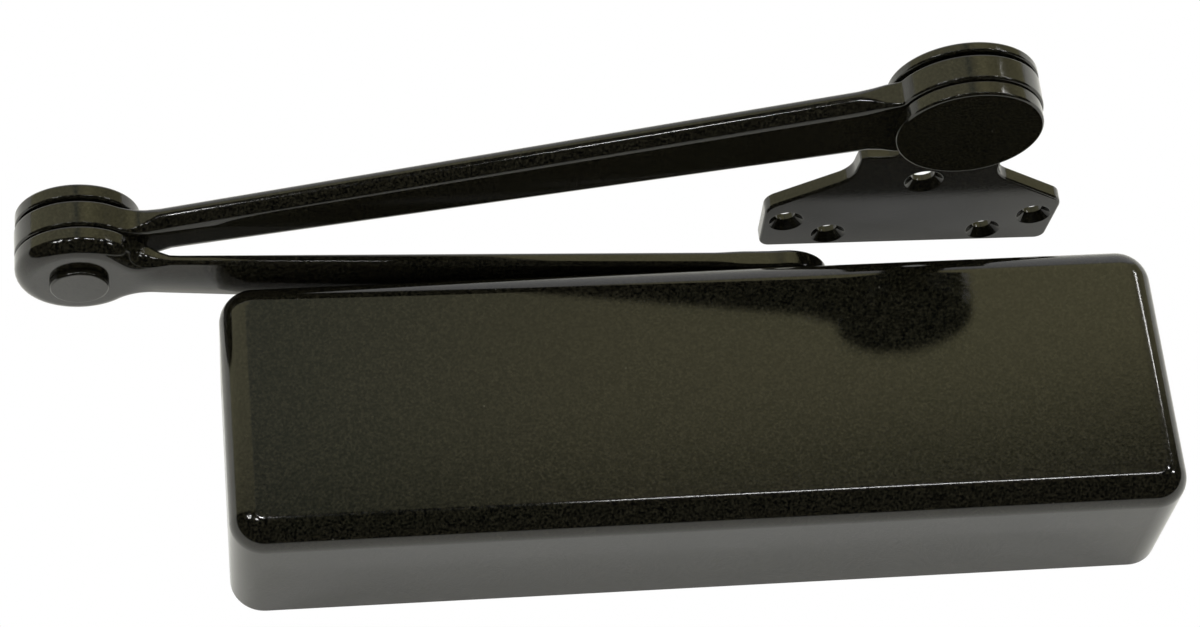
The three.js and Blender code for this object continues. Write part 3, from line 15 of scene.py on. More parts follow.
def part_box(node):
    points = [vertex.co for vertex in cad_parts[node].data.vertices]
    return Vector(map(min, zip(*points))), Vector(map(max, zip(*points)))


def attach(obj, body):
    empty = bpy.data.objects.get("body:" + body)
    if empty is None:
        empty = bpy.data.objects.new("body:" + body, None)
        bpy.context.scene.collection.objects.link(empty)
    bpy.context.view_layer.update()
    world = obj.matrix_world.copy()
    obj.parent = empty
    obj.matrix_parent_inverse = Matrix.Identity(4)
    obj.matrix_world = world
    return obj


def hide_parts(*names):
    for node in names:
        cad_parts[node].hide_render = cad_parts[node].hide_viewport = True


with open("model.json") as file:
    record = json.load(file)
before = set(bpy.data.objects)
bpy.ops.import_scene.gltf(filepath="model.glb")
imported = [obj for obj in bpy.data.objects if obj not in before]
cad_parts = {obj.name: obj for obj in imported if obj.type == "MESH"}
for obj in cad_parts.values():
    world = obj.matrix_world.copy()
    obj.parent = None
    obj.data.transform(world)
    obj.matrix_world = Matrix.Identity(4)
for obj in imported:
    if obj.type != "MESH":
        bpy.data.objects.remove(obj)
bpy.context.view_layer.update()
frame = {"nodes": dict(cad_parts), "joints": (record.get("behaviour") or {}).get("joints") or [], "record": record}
joints = {joint["name"]: joint for joint in frame["joints"]}
nodes = frame["nodes"]

MM = 0.001
SHARP_ANGLE = math.radians(32)
CROWN_STEPS = 8

# ---------------------------------------------------------------------------------------------------
# Places that the frame gives
# ---------------------------------------------------------------------------------------------------


def pivot(joint):
    """The point in XY that a hinge about Z turns on."""
    return np.array(joints[joint]["pos_m"][:2])


PINION = pivot("main_arm_swing")
ELBOW = pivot("elbow_pivot")
SHOE = pivot("shoe_pivot")
SOFFIT = next(m for m in frame["record"]["mounts"] if m["name"] == "soffit_face")


def heights(node):
    low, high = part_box(node)
    return low.z, high.z


def direction(start, end):
    """The angle about Z of the line between two points in XY, and its length."""
    step = end - start
    return math.atan2(step[1], step[0]), float(np.hypot(*step))


# ---------------------------------------------------------------------------------------------------
# Meshes
# ---------------------------------------------------------------------------------------------------


def skin(rings, capped=True):
    """Vertices and faces through rings of the same number of points."""
    count = len(rings[0])
    vertices = np.concatenate(rings)
    faces = []
    for ring in range(len(rings) - 1):
        for i in range(count):
            a, b = ring * count + i, ring * count + (i + 1) % count
            faces.append((a, b, b + count, a + count))
    if capped:
        last = (len(rings) - 1) * count
        faces.append(tuple(range(count))[::-1])
        faces.append(tuple(range(last, last + count)))
    return vertices, faces


def make_mesh(name, vertices, faces):
    mesh = bpy.data.meshes.new(name)
    mesh.from_pydata([tuple(v) for v in vertices], [], faces)
    return finish_mesh(mesh)


def finish_mesh(mesh, sharp=SHARP_ANGLE):
    """Faces point out, are smooth, and meet sharply where they meet at a large angle."""
    work = bmesh.new()
    work.from_mesh(mesh)
    bmesh.ops.remove_doubles(work, verts=work.verts, dist=1e-7)
    bmesh.ops.recalc_face_normals(work, faces=work.faces)
    for face in work.faces:
        face.smooth = True
    for edge in work.edges:
        if len(edge.link_faces) == 2:
            edge.smooth = edge.calc_face_angle(0) < sharp
    work.to_mesh(mesh)
    work.free()
    return mesh


def add_object(name, mesh):
    piece = bpy.data.objects.new(name, mesh)
    bpy.context.scene.collection.objects.link(piece)
    return piece


def apply_modifiers(piece):
    """The piece's mesh as its modifiers leave it."""
    bpy.context.view_layer.update()
    graph = bpy.context.evaluated_depsgraph_get()
    mesh = bpy.data.meshes.new_from_object(piece.evaluated_get(graph))
    piece.modifiers.clear()
    piece.data = mesh
    return piece


def boolean(piece, tools, operation="DIFFERENCE"):
    """The piece with each tool's mesh cut from it or joined to it."""
    cutters = []
    for vertices, faces in tools:
        cutter = add_object("cutter", make_mesh("cutter", vertices, faces))
        cutters.append(cutter)
        modifier = piece.modifiers.new("boolean", "BOOLEAN")
        modifier.operation = operation
        modifier.solver = "EXACT"
        modifier.object = cutter
    apply_modifiers(piece)
    for cutter in cutters:
        bpy.data.objects.remove(cutter)
    return piece


def soften(piece, width, segments=3, angle=30):
    """Round the piece's sharp edges."""
    modifier = piece.modifiers.new("bevel", "BEVEL")
    modifier.width = width
    modifier.segments = segments
    modifier.limit_method = "ANGLE"
    modifier.angle_limit = math.radians(angle)
    modifier.harden_normals = False
    return apply_modifiers(piece)


def turned(profile, centre, sides=96):
    """A profile of (radius, height) points turned about Z."""
    angles = np.linspace(0, 2 * math.pi, sides, endpoint=False)
    unit = np.stack([np.cos(angles), np.sin(angles)], 1)
    rings = []
    for radius, height in profile:
        ring = np.empty((sides, 3))
        ring[:, :2] = np.array(centre) + radius * unit
        ring[:, 2] = height
        rings.append(ring)
    return skin(rings)


def arc(centre, radius, start, end, steps):
    """Points of (u, v) on an arc; angles are in degrees."""
    angles = np.radians(np.linspace(start, end, steps + 1))
    return [
        (centre[0] + radius * math.cos(a), centre[1] + radius * math.sin(a))
        for a in angles
    ]


def disc_profile(radius, low, high, round_low, round_high, steps=5):
    """The profile of a disc with round rims, from its lower centre to its upper centre."""
    profile = [(0.0003 * radius, low)]
    profile += arc((radius - round_low, low + round_low), round_low, -90, 0, steps)
    profile += arc((radius - round_high, high - round_high), round_high, 0, 90, steps)
    profile.append((0.0003 * radius, high))
    return profile


def placed(points, origin, angle):
    """Points turned about Z and moved in XY."""
    c, s = math.cos(angle), math.sin(angle)
    turn = np.array([[c, -s], [s, c]])
    result = np.array(points, float)
    result[:, :2] = result[:, :2] @ turn.T + np.array(origin)
    return result


def outward_normals(outline):
    """Unit normals of a closed anticlockwise outline in XY."""
    tangent = np.roll(outline, -1, 0) - np.roll(outline, 1, 0)
    normal = np.stack([tangent[:, 1], -tangent[:, 0]], 1)
    return normal / np.linalg.norm(normal, axis=1, keepdims=True)


def slab(outline, low, high, round_low, round_high, steps=6, crown=None):
    """A flat outline raised from low to high with round edges; each size may differ from point to point.

    With a crown, the outline is symmetric about X, starts and ends on that axis, and both faces
    rise towards it by the crown.
    """
    count = len(outline)
    normal = outward_normals(outline)
    low, high, round_low, round_high = (
        np.broadcast_to(np.asarray(size, float), (count,))
        for size in (low, high, round_low, round_high)
    )
    rings = []

    def ring(inset, height):
        points = outline - normal * inset[:, None]
        rings.append(np.column_stack([points, height]))

    for step in range(steps + 1):
        a = step / steps * math.pi / 2
        ring(round_low * (1 - math.sin(a)), low + round_low * (1 - math.cos(a)))
    for step in range(steps + 1):
        a = step / steps * math.pi / 2
        ring(round_high * (1 - math.cos(a)), high - round_high * (1 - math.sin(a)))
    if crown is None:
        return skin(rings)
    vertices, faces = skin(rings, capped=False)
    vertices = [tuple(v) for v in vertices]
    for base, sign in ((0, -1), ((len(rings) - 1) * count, 1)):
        rows = []
        for i in range(count // 2 + 1):
            mate = (count - i) % count
            if mate in (i, count):
                rows.append([base + i] * (CROWN_STEPS + 1))
                continue
            row = [base + i]
            start, end = np.array(vertices[base + i]), np.array(vertices[base + mate])
            for step in range(1, CROWN_STEPS):
                t = step / CROWN_STEPS
                point = start + (end - start) * t
                point[2] += sign * crown[i] * (1 - (2 * t - 1) ** 2)
                row.append(len(vertices))
                vertices.append(tuple(point))
            rows.append(row + [base + mate])
        for first, second in zip(rows, rows[1:]):
            for k in range(CROWN_STEPS):
                loop = list(dict.fromkeys((first[k], first[k + 1], second[k + 1], second[k])))
                faces.append(tuple(loop))
    return vertices, faces


def smoothstep(x, start, end):
    t = np.clip((np.asarray(x, float) - start) / (end - start), 0, 1)
    return t * t * (3 - 2 * t)


def arm_outline(length, radii, widths, fillets, step=1.1 * MM):
    """An arm's outline along X: two round eyes and a tapered bar, joined by fillets."""
    slope = (widths[1] - widths[0]) / length
    unit = np.array([1.0, slope]) / math.hypot(1, slope)
    normal = np.array([-unit[1], unit[0]])
    upper = []

    def fillet_centre(eye_x, radius, fillet, sign):
        start = np.array([0.0, widths[0]]) + fillet * normal
        offset = start - np.array([eye_x, 0.0])
        b = float(offset @ unit)
        c = float(offset @ offset) - (radius + fillet) ** 2
        return start + (-b + sign * math.sqrt(b * b - c)) * unit

    def sweep(centre, radius, start, end):
        steps = max(3, int(abs(end - start) * radius / step))
        angles = np.linspace(start, end, steps + 1)
        points = centre + radius * np.stack([np.cos(angles), np.sin(angles)], 1)
        upper.extend(points)

    far = np.array([length, 0.0])
    near = np.array([0.0, 0.0])
    far_fillet = fillet_centre(length, radii[1], fillets[1], -1)
    near_fillet = fillet_centre(0.0, radii[0], fillets[0], 1)
    line_angle = math.atan2(-normal[1], -normal[0])
    to_far = math.atan2(*(far_fillet - far)[::-1])
    to_near = math.atan2(*(near_fillet - near)[::-1])
    sweep(far, radii[1], 0, to_far)
    sweep(far_fillet, fillets[1], to_far - math.pi, line_angle)
    bar_end = far_fillet - fillets[1] * normal
    bar_start = near_fillet - fillets[0] * normal
    for t in np.linspace(0, 1, 60)[1:-1]:
        upper.append(bar_end + (bar_start - bar_end) * t)
    sweep(near_fillet, fillets[0], line_angle, to_near - math.pi)
    sweep(near, radii[0], to_near, math.pi)
    points = [upper[0]]
    for point in upper[1:]:
        if np.hypot(*(point - points[-1])) > 0.2 * MM:
            points.append(point)
    points[0][1] = 0
    points[-1] = np.array([-radii[0], 0.0])
    lower = [np.array([x, -y]) for x, y in points[-2:0:-1]]
    return np.array(points + lower)


def rounded_corners(corners, radii, steps=10):
    """A closed anticlockwise outline with an arc of the given radius at each corner."""
    points = []
    count = len(corners)
    for i in range(count):
        corner = np.array(corners[i], float)
        before = np.array(corners[i - 1], float) - corner
        after = np.array(corners[(i + 1) % count], float) - corner
        before /= np.linalg.norm(before)
        after /= np.linalg.norm(after)
        half = math.acos(np.clip(before @ after, -1, 1)) / 2
        middle = (before + after) / np.linalg.norm(before + after)
        centre = corner + middle * radii[i] / math.sin(half)
        reach = radii[i] / math.tan(half)
        start = corner + before * reach - centre
        end = corner + after * reach - centre
        a0 = math.atan2(start[1], start[0])
        turn = math.atan2(end[1], end[0]) - a0
        turn = (turn + math.pi) % (2 * math.pi) - math.pi
        for step in range(steps + 1):
            a = a0 + turn * step / steps
            points.append(centre + radii[i] * np.array([math.cos(a), math.sin(a)]))
    return np.array(points)


# ---------------------------------------------------------------------------------------------------
# Materials
# ---------------------------------------------------------------------------------------------------


class Nodes:
    """A material's node tree, with the few node kinds that the finishes use."""

    def __init__(self, name):
        self.material = bpy.data.materials.new(name)
        self.material.use_nodes = True
        self.tree = self.material.node_tree
        self.shader = self.tree.nodes["Principled BSDF"]
        self.place = self.tree.nodes.new("ShaderNodeTexCoord").outputs["Object"]

    def link(self, source, target):
        self.tree.links.new(source, target)

    def noise(self, scale, detail=2.0, roughness=0.5, stretch=None):
        node = self.tree.nodes.new("ShaderNodeTexNoise")
        node.inputs["Scale"].default_value = scale
        node.inputs["Detail"].default_value = detail
        node.inputs["Roughness"].default_value = roughness
        source = self.place
        if stretch:
            mapping = self.tree.nodes.new("ShaderNodeMapping")
            mapping.inputs["Scale"].default_value = stretch
            self.link(source, mapping.inputs["Vector"])
            source = mapping.outputs["Vector"]
        self.link(source, node.inputs["Vector"])
        return node.outputs["Fac"]

    def ramp(self, factor, stops):
        node = self.tree.nodes.new("ShaderNodeValToRGB")
        elements = node.color_ramp.elements
        while len(elements) < len(stops):
            elements.new(0.5)
        for element, (position, colour) in zip(elements, stops):
            element.position = position
            if isinstance(colour, (int, float)):
                colour = (colour,) * 3
            element.color = (*colour, 1)
        self.link(factor, node.inputs["Fac"])
        return node.outputs["Color"]

    def mix(self, factor, first, second, blend="MIX"):
        node = self.tree.nodes.new("ShaderNodeMix")
        node.data_type = "RGBA"
        node.blend_type = blend
        for socket, value in ((node.inputs["Factor"], factor), (node.inputs[6], first), (node.inputs[7], second)):
            if hasattr(value, "is_output"):
                self.link(value, socket)
            elif isinstance(value, (int, float)):
                socket.default_value = value
            else:
                socket.default_value = (*value, 1)
        return node.outputs[2]

    def bump(self, height, strength, distance, normal=None):
        node = self.tree.nodes.new("ShaderNodeBump")
        node.inputs["Strength"].default_value = strength
        node.inputs["Distance"].default_value = distance
        self.link(height, node.inputs["Height"])
        if normal is not None:
            self.link(normal, node.inputs["Normal"])
        return node.outputs["Normal"]

    def specks(self, scale, size, share):
        """Small round specks, one in some of the cells of a Voronoi pattern."""
        node = self.tree.nodes.new("ShaderNodeTexVoronoi")
        node.inputs["Scale"].default_value = scale
        self.link(self.place, node.inputs["Vector"])
        near = self.ramp(node.outputs["Distance"], [(size * 0.6, 1.0), (size, 0.0)])
        split = self.tree.nodes.new("ShaderNodeSeparateColor")
        self.link(node.outputs["Color"], split.inputs["Color"])
        chosen = self.ramp(split.outputs["Red"], [(share, 1.0), (share + 0.001, 0.0)])
        return self.mix(1.0, near, chosen, "MULTIPLY")

    def finish(self, color=None, roughness=None, metallic=0.0, normal=None, **constants):
        for name, value in (("Base Color", color), ("Roughness", roughness), ("Normal", normal)):
            if value is None:
                continue
            if hasattr(value, "is_output"):
                self.link(value, self.shader.inputs[name])
            else:
                self.shader.inputs[name].default_value = value
        self.shader.inputs["Metallic"].default_value = metallic
        for name, value in constants.items():
            self.shader.inputs[name.replace("_", " ")].default_value = value
        return self.material


def powder_coat(name, dark, light, gloss, dust):
    """Satin dark bronze powder coat: fine grain, a slow orange peel and a few specks of dust."""
    n = Nodes(name)
    grain = n.noise(1050, 3, 0.8)
    cloud = n.noise(28, 2)
    deeper = tuple(0.75 * c for c in light)
    color = n.mix(cloud, n.ramp(grain, [(0.42, dark), (0.66, light)]), n.ramp(grain, [(0.40, dark), (0.68, deeper)]))
    color = n.mix(n.specks(260, 0.05, dust), color, (0.22, 0.21, 0.19))
    roughness = n.ramp(n.noise(900, 2, 0.6), [(0.3, gloss - 0.03), (0.7, gloss + 0.05)])
    normal = n.bump(n.noise(420, 2, 0.5), 0.05, 0.1 * MM)
    normal = n.bump(grain, 0.16, 0.05 * MM, normal)
    return n.finish(color, roughness, 0.0, normal, IOR=1.5)


def cast_iron(name, dark, light):
    """Cast iron under thin paint: a sandy surface with darker hollows."""
    n = Nodes(name)
    sand = n.noise(700, 4, 0.65)
    lumps = n.noise(120, 3, 0.5)
    color = n.ramp(sand, [(0.3, dark), (0.7, light)])
    roughness = n.ramp(lumps, [(0.3, 0.48), (0.7, 0.66)])
    normal = n.bump(lumps, 0.35, 0.4 * MM)
    normal = n.bump(sand, 0.5, 0.25 * MM, normal)
    return n.finish(color, roughness, 0.35, normal)


def machined(name, dark, light, gloss, stretch, metallic=1.0):
    """Metal with fine tool marks across the direction that stretch gives."""
    n = Nodes(name)
    marks = n.noise(900, 3, 0.6, stretch)
    stains = n.noise(90, 4, 0.6)
    color = n.ramp(stains, [(0.3, dark), (0.65, light)])
    roughness = n.ramp(marks, [(0.3, gloss - 0.06), (0.7, gloss + 0.12)])
    normal = n.bump(marks, 0.25, 0.05 * MM)
    return n.finish(color, roughness, metallic, normal)


def rubber(name, dark, light):
    n = Nodes(name)
    grain = n.noise(1300, 3, 0.6)
    color = n.ramp(grain, [(0.3, dark), (0.7, light)])
    roughness = n.ramp(n.noise(300, 2), [(0.3, 0.55), (0.7, 0.8)])
    return n.finish(color, roughness, 0.0, n.bump(grain, 0.3, 0.08 * MM))


DARK_BRONZE = (0.0004, 0.0004, 0.0003)
BRONZE_FLECK = (0.0210, 0.0195, 0.0125)
finishes = {
    "bronze_paint": powder_coat("bronze_paint", DARK_BRONZE, BRONZE_FLECK, 0.08, 0.02),
    "casting_paint": cast_iron("casting_paint", (0.035, 0.036, 0.038), (0.11, 0.112, 0.115)),
    "steel": machined("steel", (0.30, 0.30, 0.31), (0.52, 0.52, 0.53), 0.26, (0.15, 1, 4)),
    "spring_steel": machined("spring_steel", (0.08, 0.08, 0.09), (0.17, 0.17, 0.19), 0.34, (3, 1, 1)),
    "bearing_bronze": machined("bearing_bronze", (0.34, 0.20, 0.07), (0.50, 0.33, 0.13), 0.3, (1, 1, 5)),
    "zinc": machined("zinc", (0.42, 0.41, 0.36), (0.62, 0.61, 0.55), 0.28, (1, 1, 1)),
    "seal_rubber": rubber("seal_rubber", (0.012, 0.012, 0.012), (0.03, 0.03, 0.03)),
    "bumper_rubber": rubber("bumper_rubber", (0.02, 0.02, 0.02), (0.05, 0.05, 0.05)),
}

for part in frame["record"]["subparts"]:
    node = nodes[part["node"]]
    node.data.materials.clear()
    node.data.materials.append(finishes[part["material_slot"]])


def publish(piece, slot, body, *replaced):
    """Give a finished piece its material and its place in the frame."""
    piece.data.materials.clear()
    piece.data.materials.append(finishes[slot])
    finish_mesh(piece.data)
    weighted = piece.modifiers.new("weighted", "WEIGHTED_NORMAL")
    weighted.keep_sharp = True
    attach(piece, body)
    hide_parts(*replaced)
    return piece


# ---------------------------------------------------------------------------------------------------
# Cover
# ---------------------------------------------------------------------------------------------------

COVER_WALL = 2 * MM
COVER_EDGE = 9.5 * MM
COVER_CORNER = 12 * MM
cover_low, cover_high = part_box("cover")


def cup(inset, back):
    """One skin of the cover, from its rim to the middle of its front face."""
    low_x, high_x = cover_low.x + inset, cover_high.x - inset
    low_z, high_z = cover_low.z + inset, cover_high.z - inset
    corner = COVER_CORNER - inset
    outline = rounded_corners(
        [(low_x, low_z), (high_x, low_z), (high_x, high_z), (low_x, high_z)],
        [corner] * 4,
        14,
    )
    normal = outward_normals(outline)
    edge = COVER_EDGE - inset
    front = cover_low.y + inset
    rings = []

    def ring(shrink, y):
        points = outline - normal * shrink
        rings.append(np.column_stack([points[:, 0], np.full(len(points), y), points[:, 1]]))

    lip = 0.45 * MM if inset == 0 else 0.3 * MM
    for step in range(4):
        a = step / 3 * math.pi / 2
        sign = 1 if inset == 0 else -1
        ring(sign * lip * (1 - math.sin(a)), back - lip * (1 - math.cos(a)))
    for step in range(17):
        a = step / 16 * math.pi / 2
        ring(edge * (1 - math.cos(a)), front + edge * (1 - math.sin(a)))
    return rings


outer = cup(0.0, cover_high.y)
inner = cup(COVER_WALL, cover_high.y)
cover = add_object("cover_shell", make_mesh("cover_shell", *skin(inner[::-1] + outer)))
slot_radius = 14.5 * MM
slot_top = cover_high.z + 2 * MM
slot_bottom = cover_high.z - 6 * MM
slot_outline = [(PINION[0] + slot_radius * math.cos(a), PINION[1] + slot_radius * math.sin(a))
                for a in np.linspace(math.pi, 2 * math.pi, 33)]
slot_outline += [(PINION[0] + slot_radius, 2 * MM), (PINION[0] - slot_radius, 2 * MM)]
slot_rings = [np.array([(x, y, z) for x, y in slot_outline]) for z in (slot_bottom, slot_top)]
boolean(cover, [skin(slot_rings)])
soften(cover, 0.3 * MM, 2, 50)
publish(cover, "bronze_paint", "closer_body", "cover")

# ---------------------------------------------------------------------------------------------------
# Arms
# ---------------------------------------------------------------------------------------------------

EYE_REACH = 13 * MM


def arm(name, start, end, radii, widths, fillets, bar, eyes):
    """A forged arm between two pivots.

    bar and eyes give low, high, lower rounding, upper rounding and crown; the bar's crown has a
    value for each end, and eyes has an entry for each end.
    """
    angle, length = direction(start, end)
    outline = arm_outline(length, radii, widths, fillets)
    x = outline[:, 0]
    at_start = 1 - smoothstep(x, radii[0] * 0.85, radii[0] * 0.85 + EYE_REACH)
    at_end = smoothstep(x, length - radii[1] * 0.85 - EYE_REACH, length - radii[1] * 0.85)
    on_bar = 1 - at_start - at_end
    along = np.clip(x / length, 0, 1)
    bar = [*bar[:4], bar[4][0] + (bar[4][1] - bar[4][0]) * along]
    sizes = [on_bar * b + at_start * s + at_end * e for b, s, e in zip(bar, *eyes)]
    low, high, below, above, crown = sizes
    vertices, faces = slab(outline, low + crown, high - crown, below, above, 8, crown)
    vertices = placed(vertices, start, angle)
    return add_object(name, make_mesh(name, vertices, faces))


arm_low, arm_high = heights("main_arm")
bar_high = arm_low + 7 * MM
main_arm = arm(
    "main_arm_forging",
    PINION,
    ELBOW,
    (17.45 * MM, 21.95 * MM),
    (16.8 * MM, 9.8 * MM),
    (40 * MM, 14 * MM),
    (arm_low, bar_high, 1.6 * MM, 1.6 * MM, (0.5 * MM, 1.6 * MM)),
    (
        (arm_low, bar_high, 1.2 * MM, 1.8 * MM, 0),
        (arm_low, arm_high, 5.5 * MM, 1.1 * MM, 0),
    ),
)
washer_low, washer_high = heights("arm_washer")
recess = turned([(0.0001, washer_low - 0.3 * MM), (8.9 * MM, washer_low - 0.3 * MM),
                 (8.9 * MM, arm_high), (0.0001, arm_high)], PINION, 64)
main_angle, main_length = direction(PINION, ELBOW)
half_square = 6.3 * MM
square = [(-half_square, -half_square), (half_square, -half_square), (half_square, half_square), (-half_square, half_square)]
square_rings = [placed([(x, y, z) for x, y in square], PINION, main_angle)
                for z in (arm_low - 2 * MM, arm_high + 2 * MM)]
boolean(main_arm, [recess, skin(square_rings)])
publish(main_arm, "bronze_paint", "main_arm", "main_arm")

fore_low, fore_high = heights("forearm")
fore_bar_high = fore_high - 0.2 * MM
forearm = arm(
    "forearm_forging",
    ELBOW,
    SHOE,
    (21.95 * MM, 25.95 * MM),
    (8.6 * MM, 16.2 * MM),
    (12 * MM, 2 * MM),
    (fore_bar_high - 8.64 * MM, fore_bar_high, 5.2 * MM, 3.0 * MM, (0, 0)),
    (
        (fore_low, fore_high, 1.0 * MM, 1.0 * MM, 0),
        (fore_low, fore_high, 1.0 * MM, 1.0 * MM, 0),
    ),
)
publish(forearm, "bronze_paint", "forearm", "forearm")

# ---------------------------------------------------------------------------------------------------
# Discs, pin head and screws
# ---------------------------------------------------------------------------------------------------


def disc(name, node, centre, radius, rounding, slot, body):
    low, high = heights(node)
    vertices, faces = turned(disc_profile(radius, low, high, *rounding), centre, 128)
    piece = add_object(name, make_mesh(name, vertices, faces))
    return publish(piece, slot, body, node)


disc("elbow_cap_disc", "elbow_cap", ELBOW, 21.6 * MM, (0.9 * MM, 1.2 * MM), "bronze_paint", "main_arm")
disc("shoe_lower_cap", "shoe_lower_disc", SHOE, 25.2 * MM, (1.0 * MM, 0.7 * MM), "bronze_paint", "shoe")
upper_low, upper_high = heights("shoe_plate")[0] - 4.0 * MM, heights("shoe_plate")[0] - 0.3 * MM
vertices, faces = turned(disc_profile(25.95 * MM, upper_low, upper_high, 0.8 * MM, 1.0 * MM), SHOE, 128)
publish(add_object("shoe_upper_cap", make_mesh("shoe_upper_cap", vertices, faces)), "bronze_paint", "shoe", "shoe_upper_disc")

pin_low = heights("elbow_pin")[0]
head = [(0.00001, pin_low), (9.4 * MM, pin_low + 0.05 * MM)]
head += arc((9.3 * MM, pin_low + 0.9 * MM), 0.9 * MM, -90, 0, 5)[1:]
head += [(10.2 * MM, pin_low + 2.2 * MM), (6.7 * MM, pin_low + 2.2 * MM), (6.7 * MM, heights("elbow_pin")[1]), (0.00001, heights("elbow_pin")[1])]
pin = add_object("elbow_pin_turned", make_mesh("elbow_pin_turned", *turned(head, ELBOW, 96)))
publish(pin, "bronze_paint", "main_arm", "elbow_pin")

# ---------------------------------------------------------------------------------------------------
# Shoe plate
# ---------------------------------------------------------------------------------------------------

plate_low, plate_high = heights("shoe_plate")
SHOE_ANGLE = direction(SHOE, np.array(SOFFIT["pos_m"][:2]))[0] - math.pi / 2

# Half of the plate's outline, from the boss round the pivot to the straight edge: x, y and rounding in mm.
PLATE_HALF = [
    (16, -16, 15.9),
    (16, 14, 9),
    (11.5, 22, 9),
    (11.5, 50, 4),
    (25.5, 50, 2.5),
    (26.5, 64, 11),
    (54.8, 83, 7),
    (53.5, 110, 4),
]
SCREW_HOLES = [(0, 66.5, 4.4, 7.0), (-46, 92.5, 3.8, 6.3), (46, 92.5, 3.8, 6.3), (-29, 102.3, 3.8, 6.3), (29, 102.3, 3.8, 6.3)]
SINK_DEPTH = 2.9 * MM
whole = PLATE_HALF + [(-x, y, r) for x, y, r in PLATE_HALF[::-1]]
plate_outline = rounded_corners(
    [(x * MM, y * MM) for x, y, r in whole], [r * MM for x, y, r in whole], 12
)
vertices, faces = slab(plate_outline, plate_low, plate_high, 1.0 * MM, 0.6 * MM, 5)
plate = add_object("shoe_plate_casting", make_mesh("shoe_plate_casting", placed(vertices, SHOE, SHOE_ANGLE), faces))
tools = []
for x, y, radius, sink in SCREW_HOLES:
    centre = placed([(x * MM, y * MM, 0)], SHOE, SHOE_ANGLE)[0, :2]
    radius, sink = radius * MM, sink * MM
    tools.append(
        turned(
            [
                (1e-5, plate_low - MM),
                (sink + MM, plate_low - MM),
                (sink, plate_low),
                (radius, plate_low + SINK_DEPTH),
                (radius, plate_high + MM),
                (1e-5, plate_high + MM),
            ],
            centre,
            48,
        )
    )
stud_seat = plate_high - 2.9 * MM
tools.append(
    turned(
        [
            (1e-5, plate_low - MM),
            (9 * MM, plate_low - MM),
            (9 * MM, stud_seat),
            (11.8 * MM, stud_seat),
            (11.8 * MM, plate_high + MM),
            (1e-5, plate_high + MM),
        ],
        SHOE,
        64,
    )
)
boolean(plate, tools)
soften(plate, 0.25 * MM, 2, 30)
publish(plate, "bronze_paint", "shoe", "shoe_plate")

# ---------------------------------------------------------------------------------------------------
# CAD nodes that stay: welded, smooth shading with sharp edges split by angle, and the cylinder body remeshed and
# smoothed
# ---------------------------------------------------------------------------------------------------

for name, node in nodes.items():
    if node.hide_render:
        continue
    for polygon in node.data.polygons:
        polygon.use_smooth = True
    weld = node.modifiers.new("weld", "WELD")
    weld.merge_threshold = 0.002 * MM
    if name == "cylinder_body":
        remesh = node.modifiers.new("cast", "REMESH")
        remesh.mode = "VOXEL"
        remesh.voxel_size = 0.9 * MM
        remesh.use_smooth_shade = True
        smooth = node.modifiers.new("fillets", "SMOOTH")
        smooth.factor = 0.5
        smooth.iterations = 4
    else:
        edges = node.modifiers.new("edges", "EDGE_SPLIT")
        edges.split_angle = SHARP_ANGLE

# ---------------------------------------------------------------------------------------------------
# Floor, light and camera
# ---------------------------------------------------------------------------------------------------

floor_material = Nodes("floor")
floor_material.finish((0.82, 0.82, 0.81, 1), 0.7)
floor = add_object("floor", make_mesh("floor", [(-9, -9, -0.9), (9, -9, -0.9), (9, 9, -0.9), (-9, 9, -0.9)], [(0, 1, 2, 3)]))
floor.data.materials.append(floor_material.material)
floor.visible_glossy = False

# The bench that the closer lies on, seen only in its reflections. Its material glows (emission): painted light that
# makes the bench brighter in those reflections than the lamps alone make it.
glowing_bench_material = Nodes("bench")
glowing_bench_material.finish((0.9, 0.9, 0.89, 1), 0.6, Emission_Color=(1, 1, 0.97, 1), Emission_Strength=0.3)
BENCH_DEPTH = 0.004
bench_card = add_object("bench", make_mesh("bench", [(-3, BENCH_DEPTH, -3), (3, BENCH_DEPTH, -3), (3, BENCH_DEPTH, 3), (-3, BENCH_DEPTH, 3)], [(0, 1, 2, 3)]))
bench_card.data.materials.append(glowing_bench_material.material)
bench_card.visible_camera = False
bench_card.visible_diffuse = False
bench_card.visible_shadow = False
bench_card.visible_transmission = False

CAMERA_TARGET = Vector((-30.068, -30.0, 45.457)) * MM
CAMERA_DISTANCE = 1217.76 * MM
CAMERA_AZIMUTH = math.radians(-7.788)
CAMERA_ELEVATION = math.radians(-27.905)
CAMERA_ROLL = math.radians(-6.166)
CAMERA_LENS = 102.677

back = Vector((
    math.sin(CAMERA_AZIMUTH) * math.cos(CAMERA_ELEVATION),
    -math.cos(CAMERA_AZIMUTH) * math.cos(CAMERA_ELEVATION),
    math.sin(CAMERA_ELEVATION),
))
level = Vector((0, 0, 1)).cross(back).normalized()
upright = back.cross(level)
right_axis = level * math.cos(CAMERA_ROLL) + upright * math.sin(CAMERA_ROLL)
up_axis = upright * math.cos(CAMERA_ROLL) - level * math.sin(CAMERA_ROLL)
camera_data = bpy.data.cameras.new("camera")
camera_data.lens = CAMERA_LENS
camera_data.sensor_width = 36
camera_data.clip_start = 0.02
camera_data.clip_end = 60
camera = bpy.data.objects.new("camera", camera_data)
bpy.context.scene.collection.objects.link(camera)
camera.matrix_world = Matrix((
    (right_axis.x, up_axis.x, back.x, 0),
    (right_axis.y, up_axis.y, back.y, 0),
    (right_axis.z, up_axis.z, back.z, 0),
    (0, 0, 0, 1),
))
camera.location = CAMERA_TARGET + back * CAMERA_DISTANCE
bpy.context.scene.camera = camera

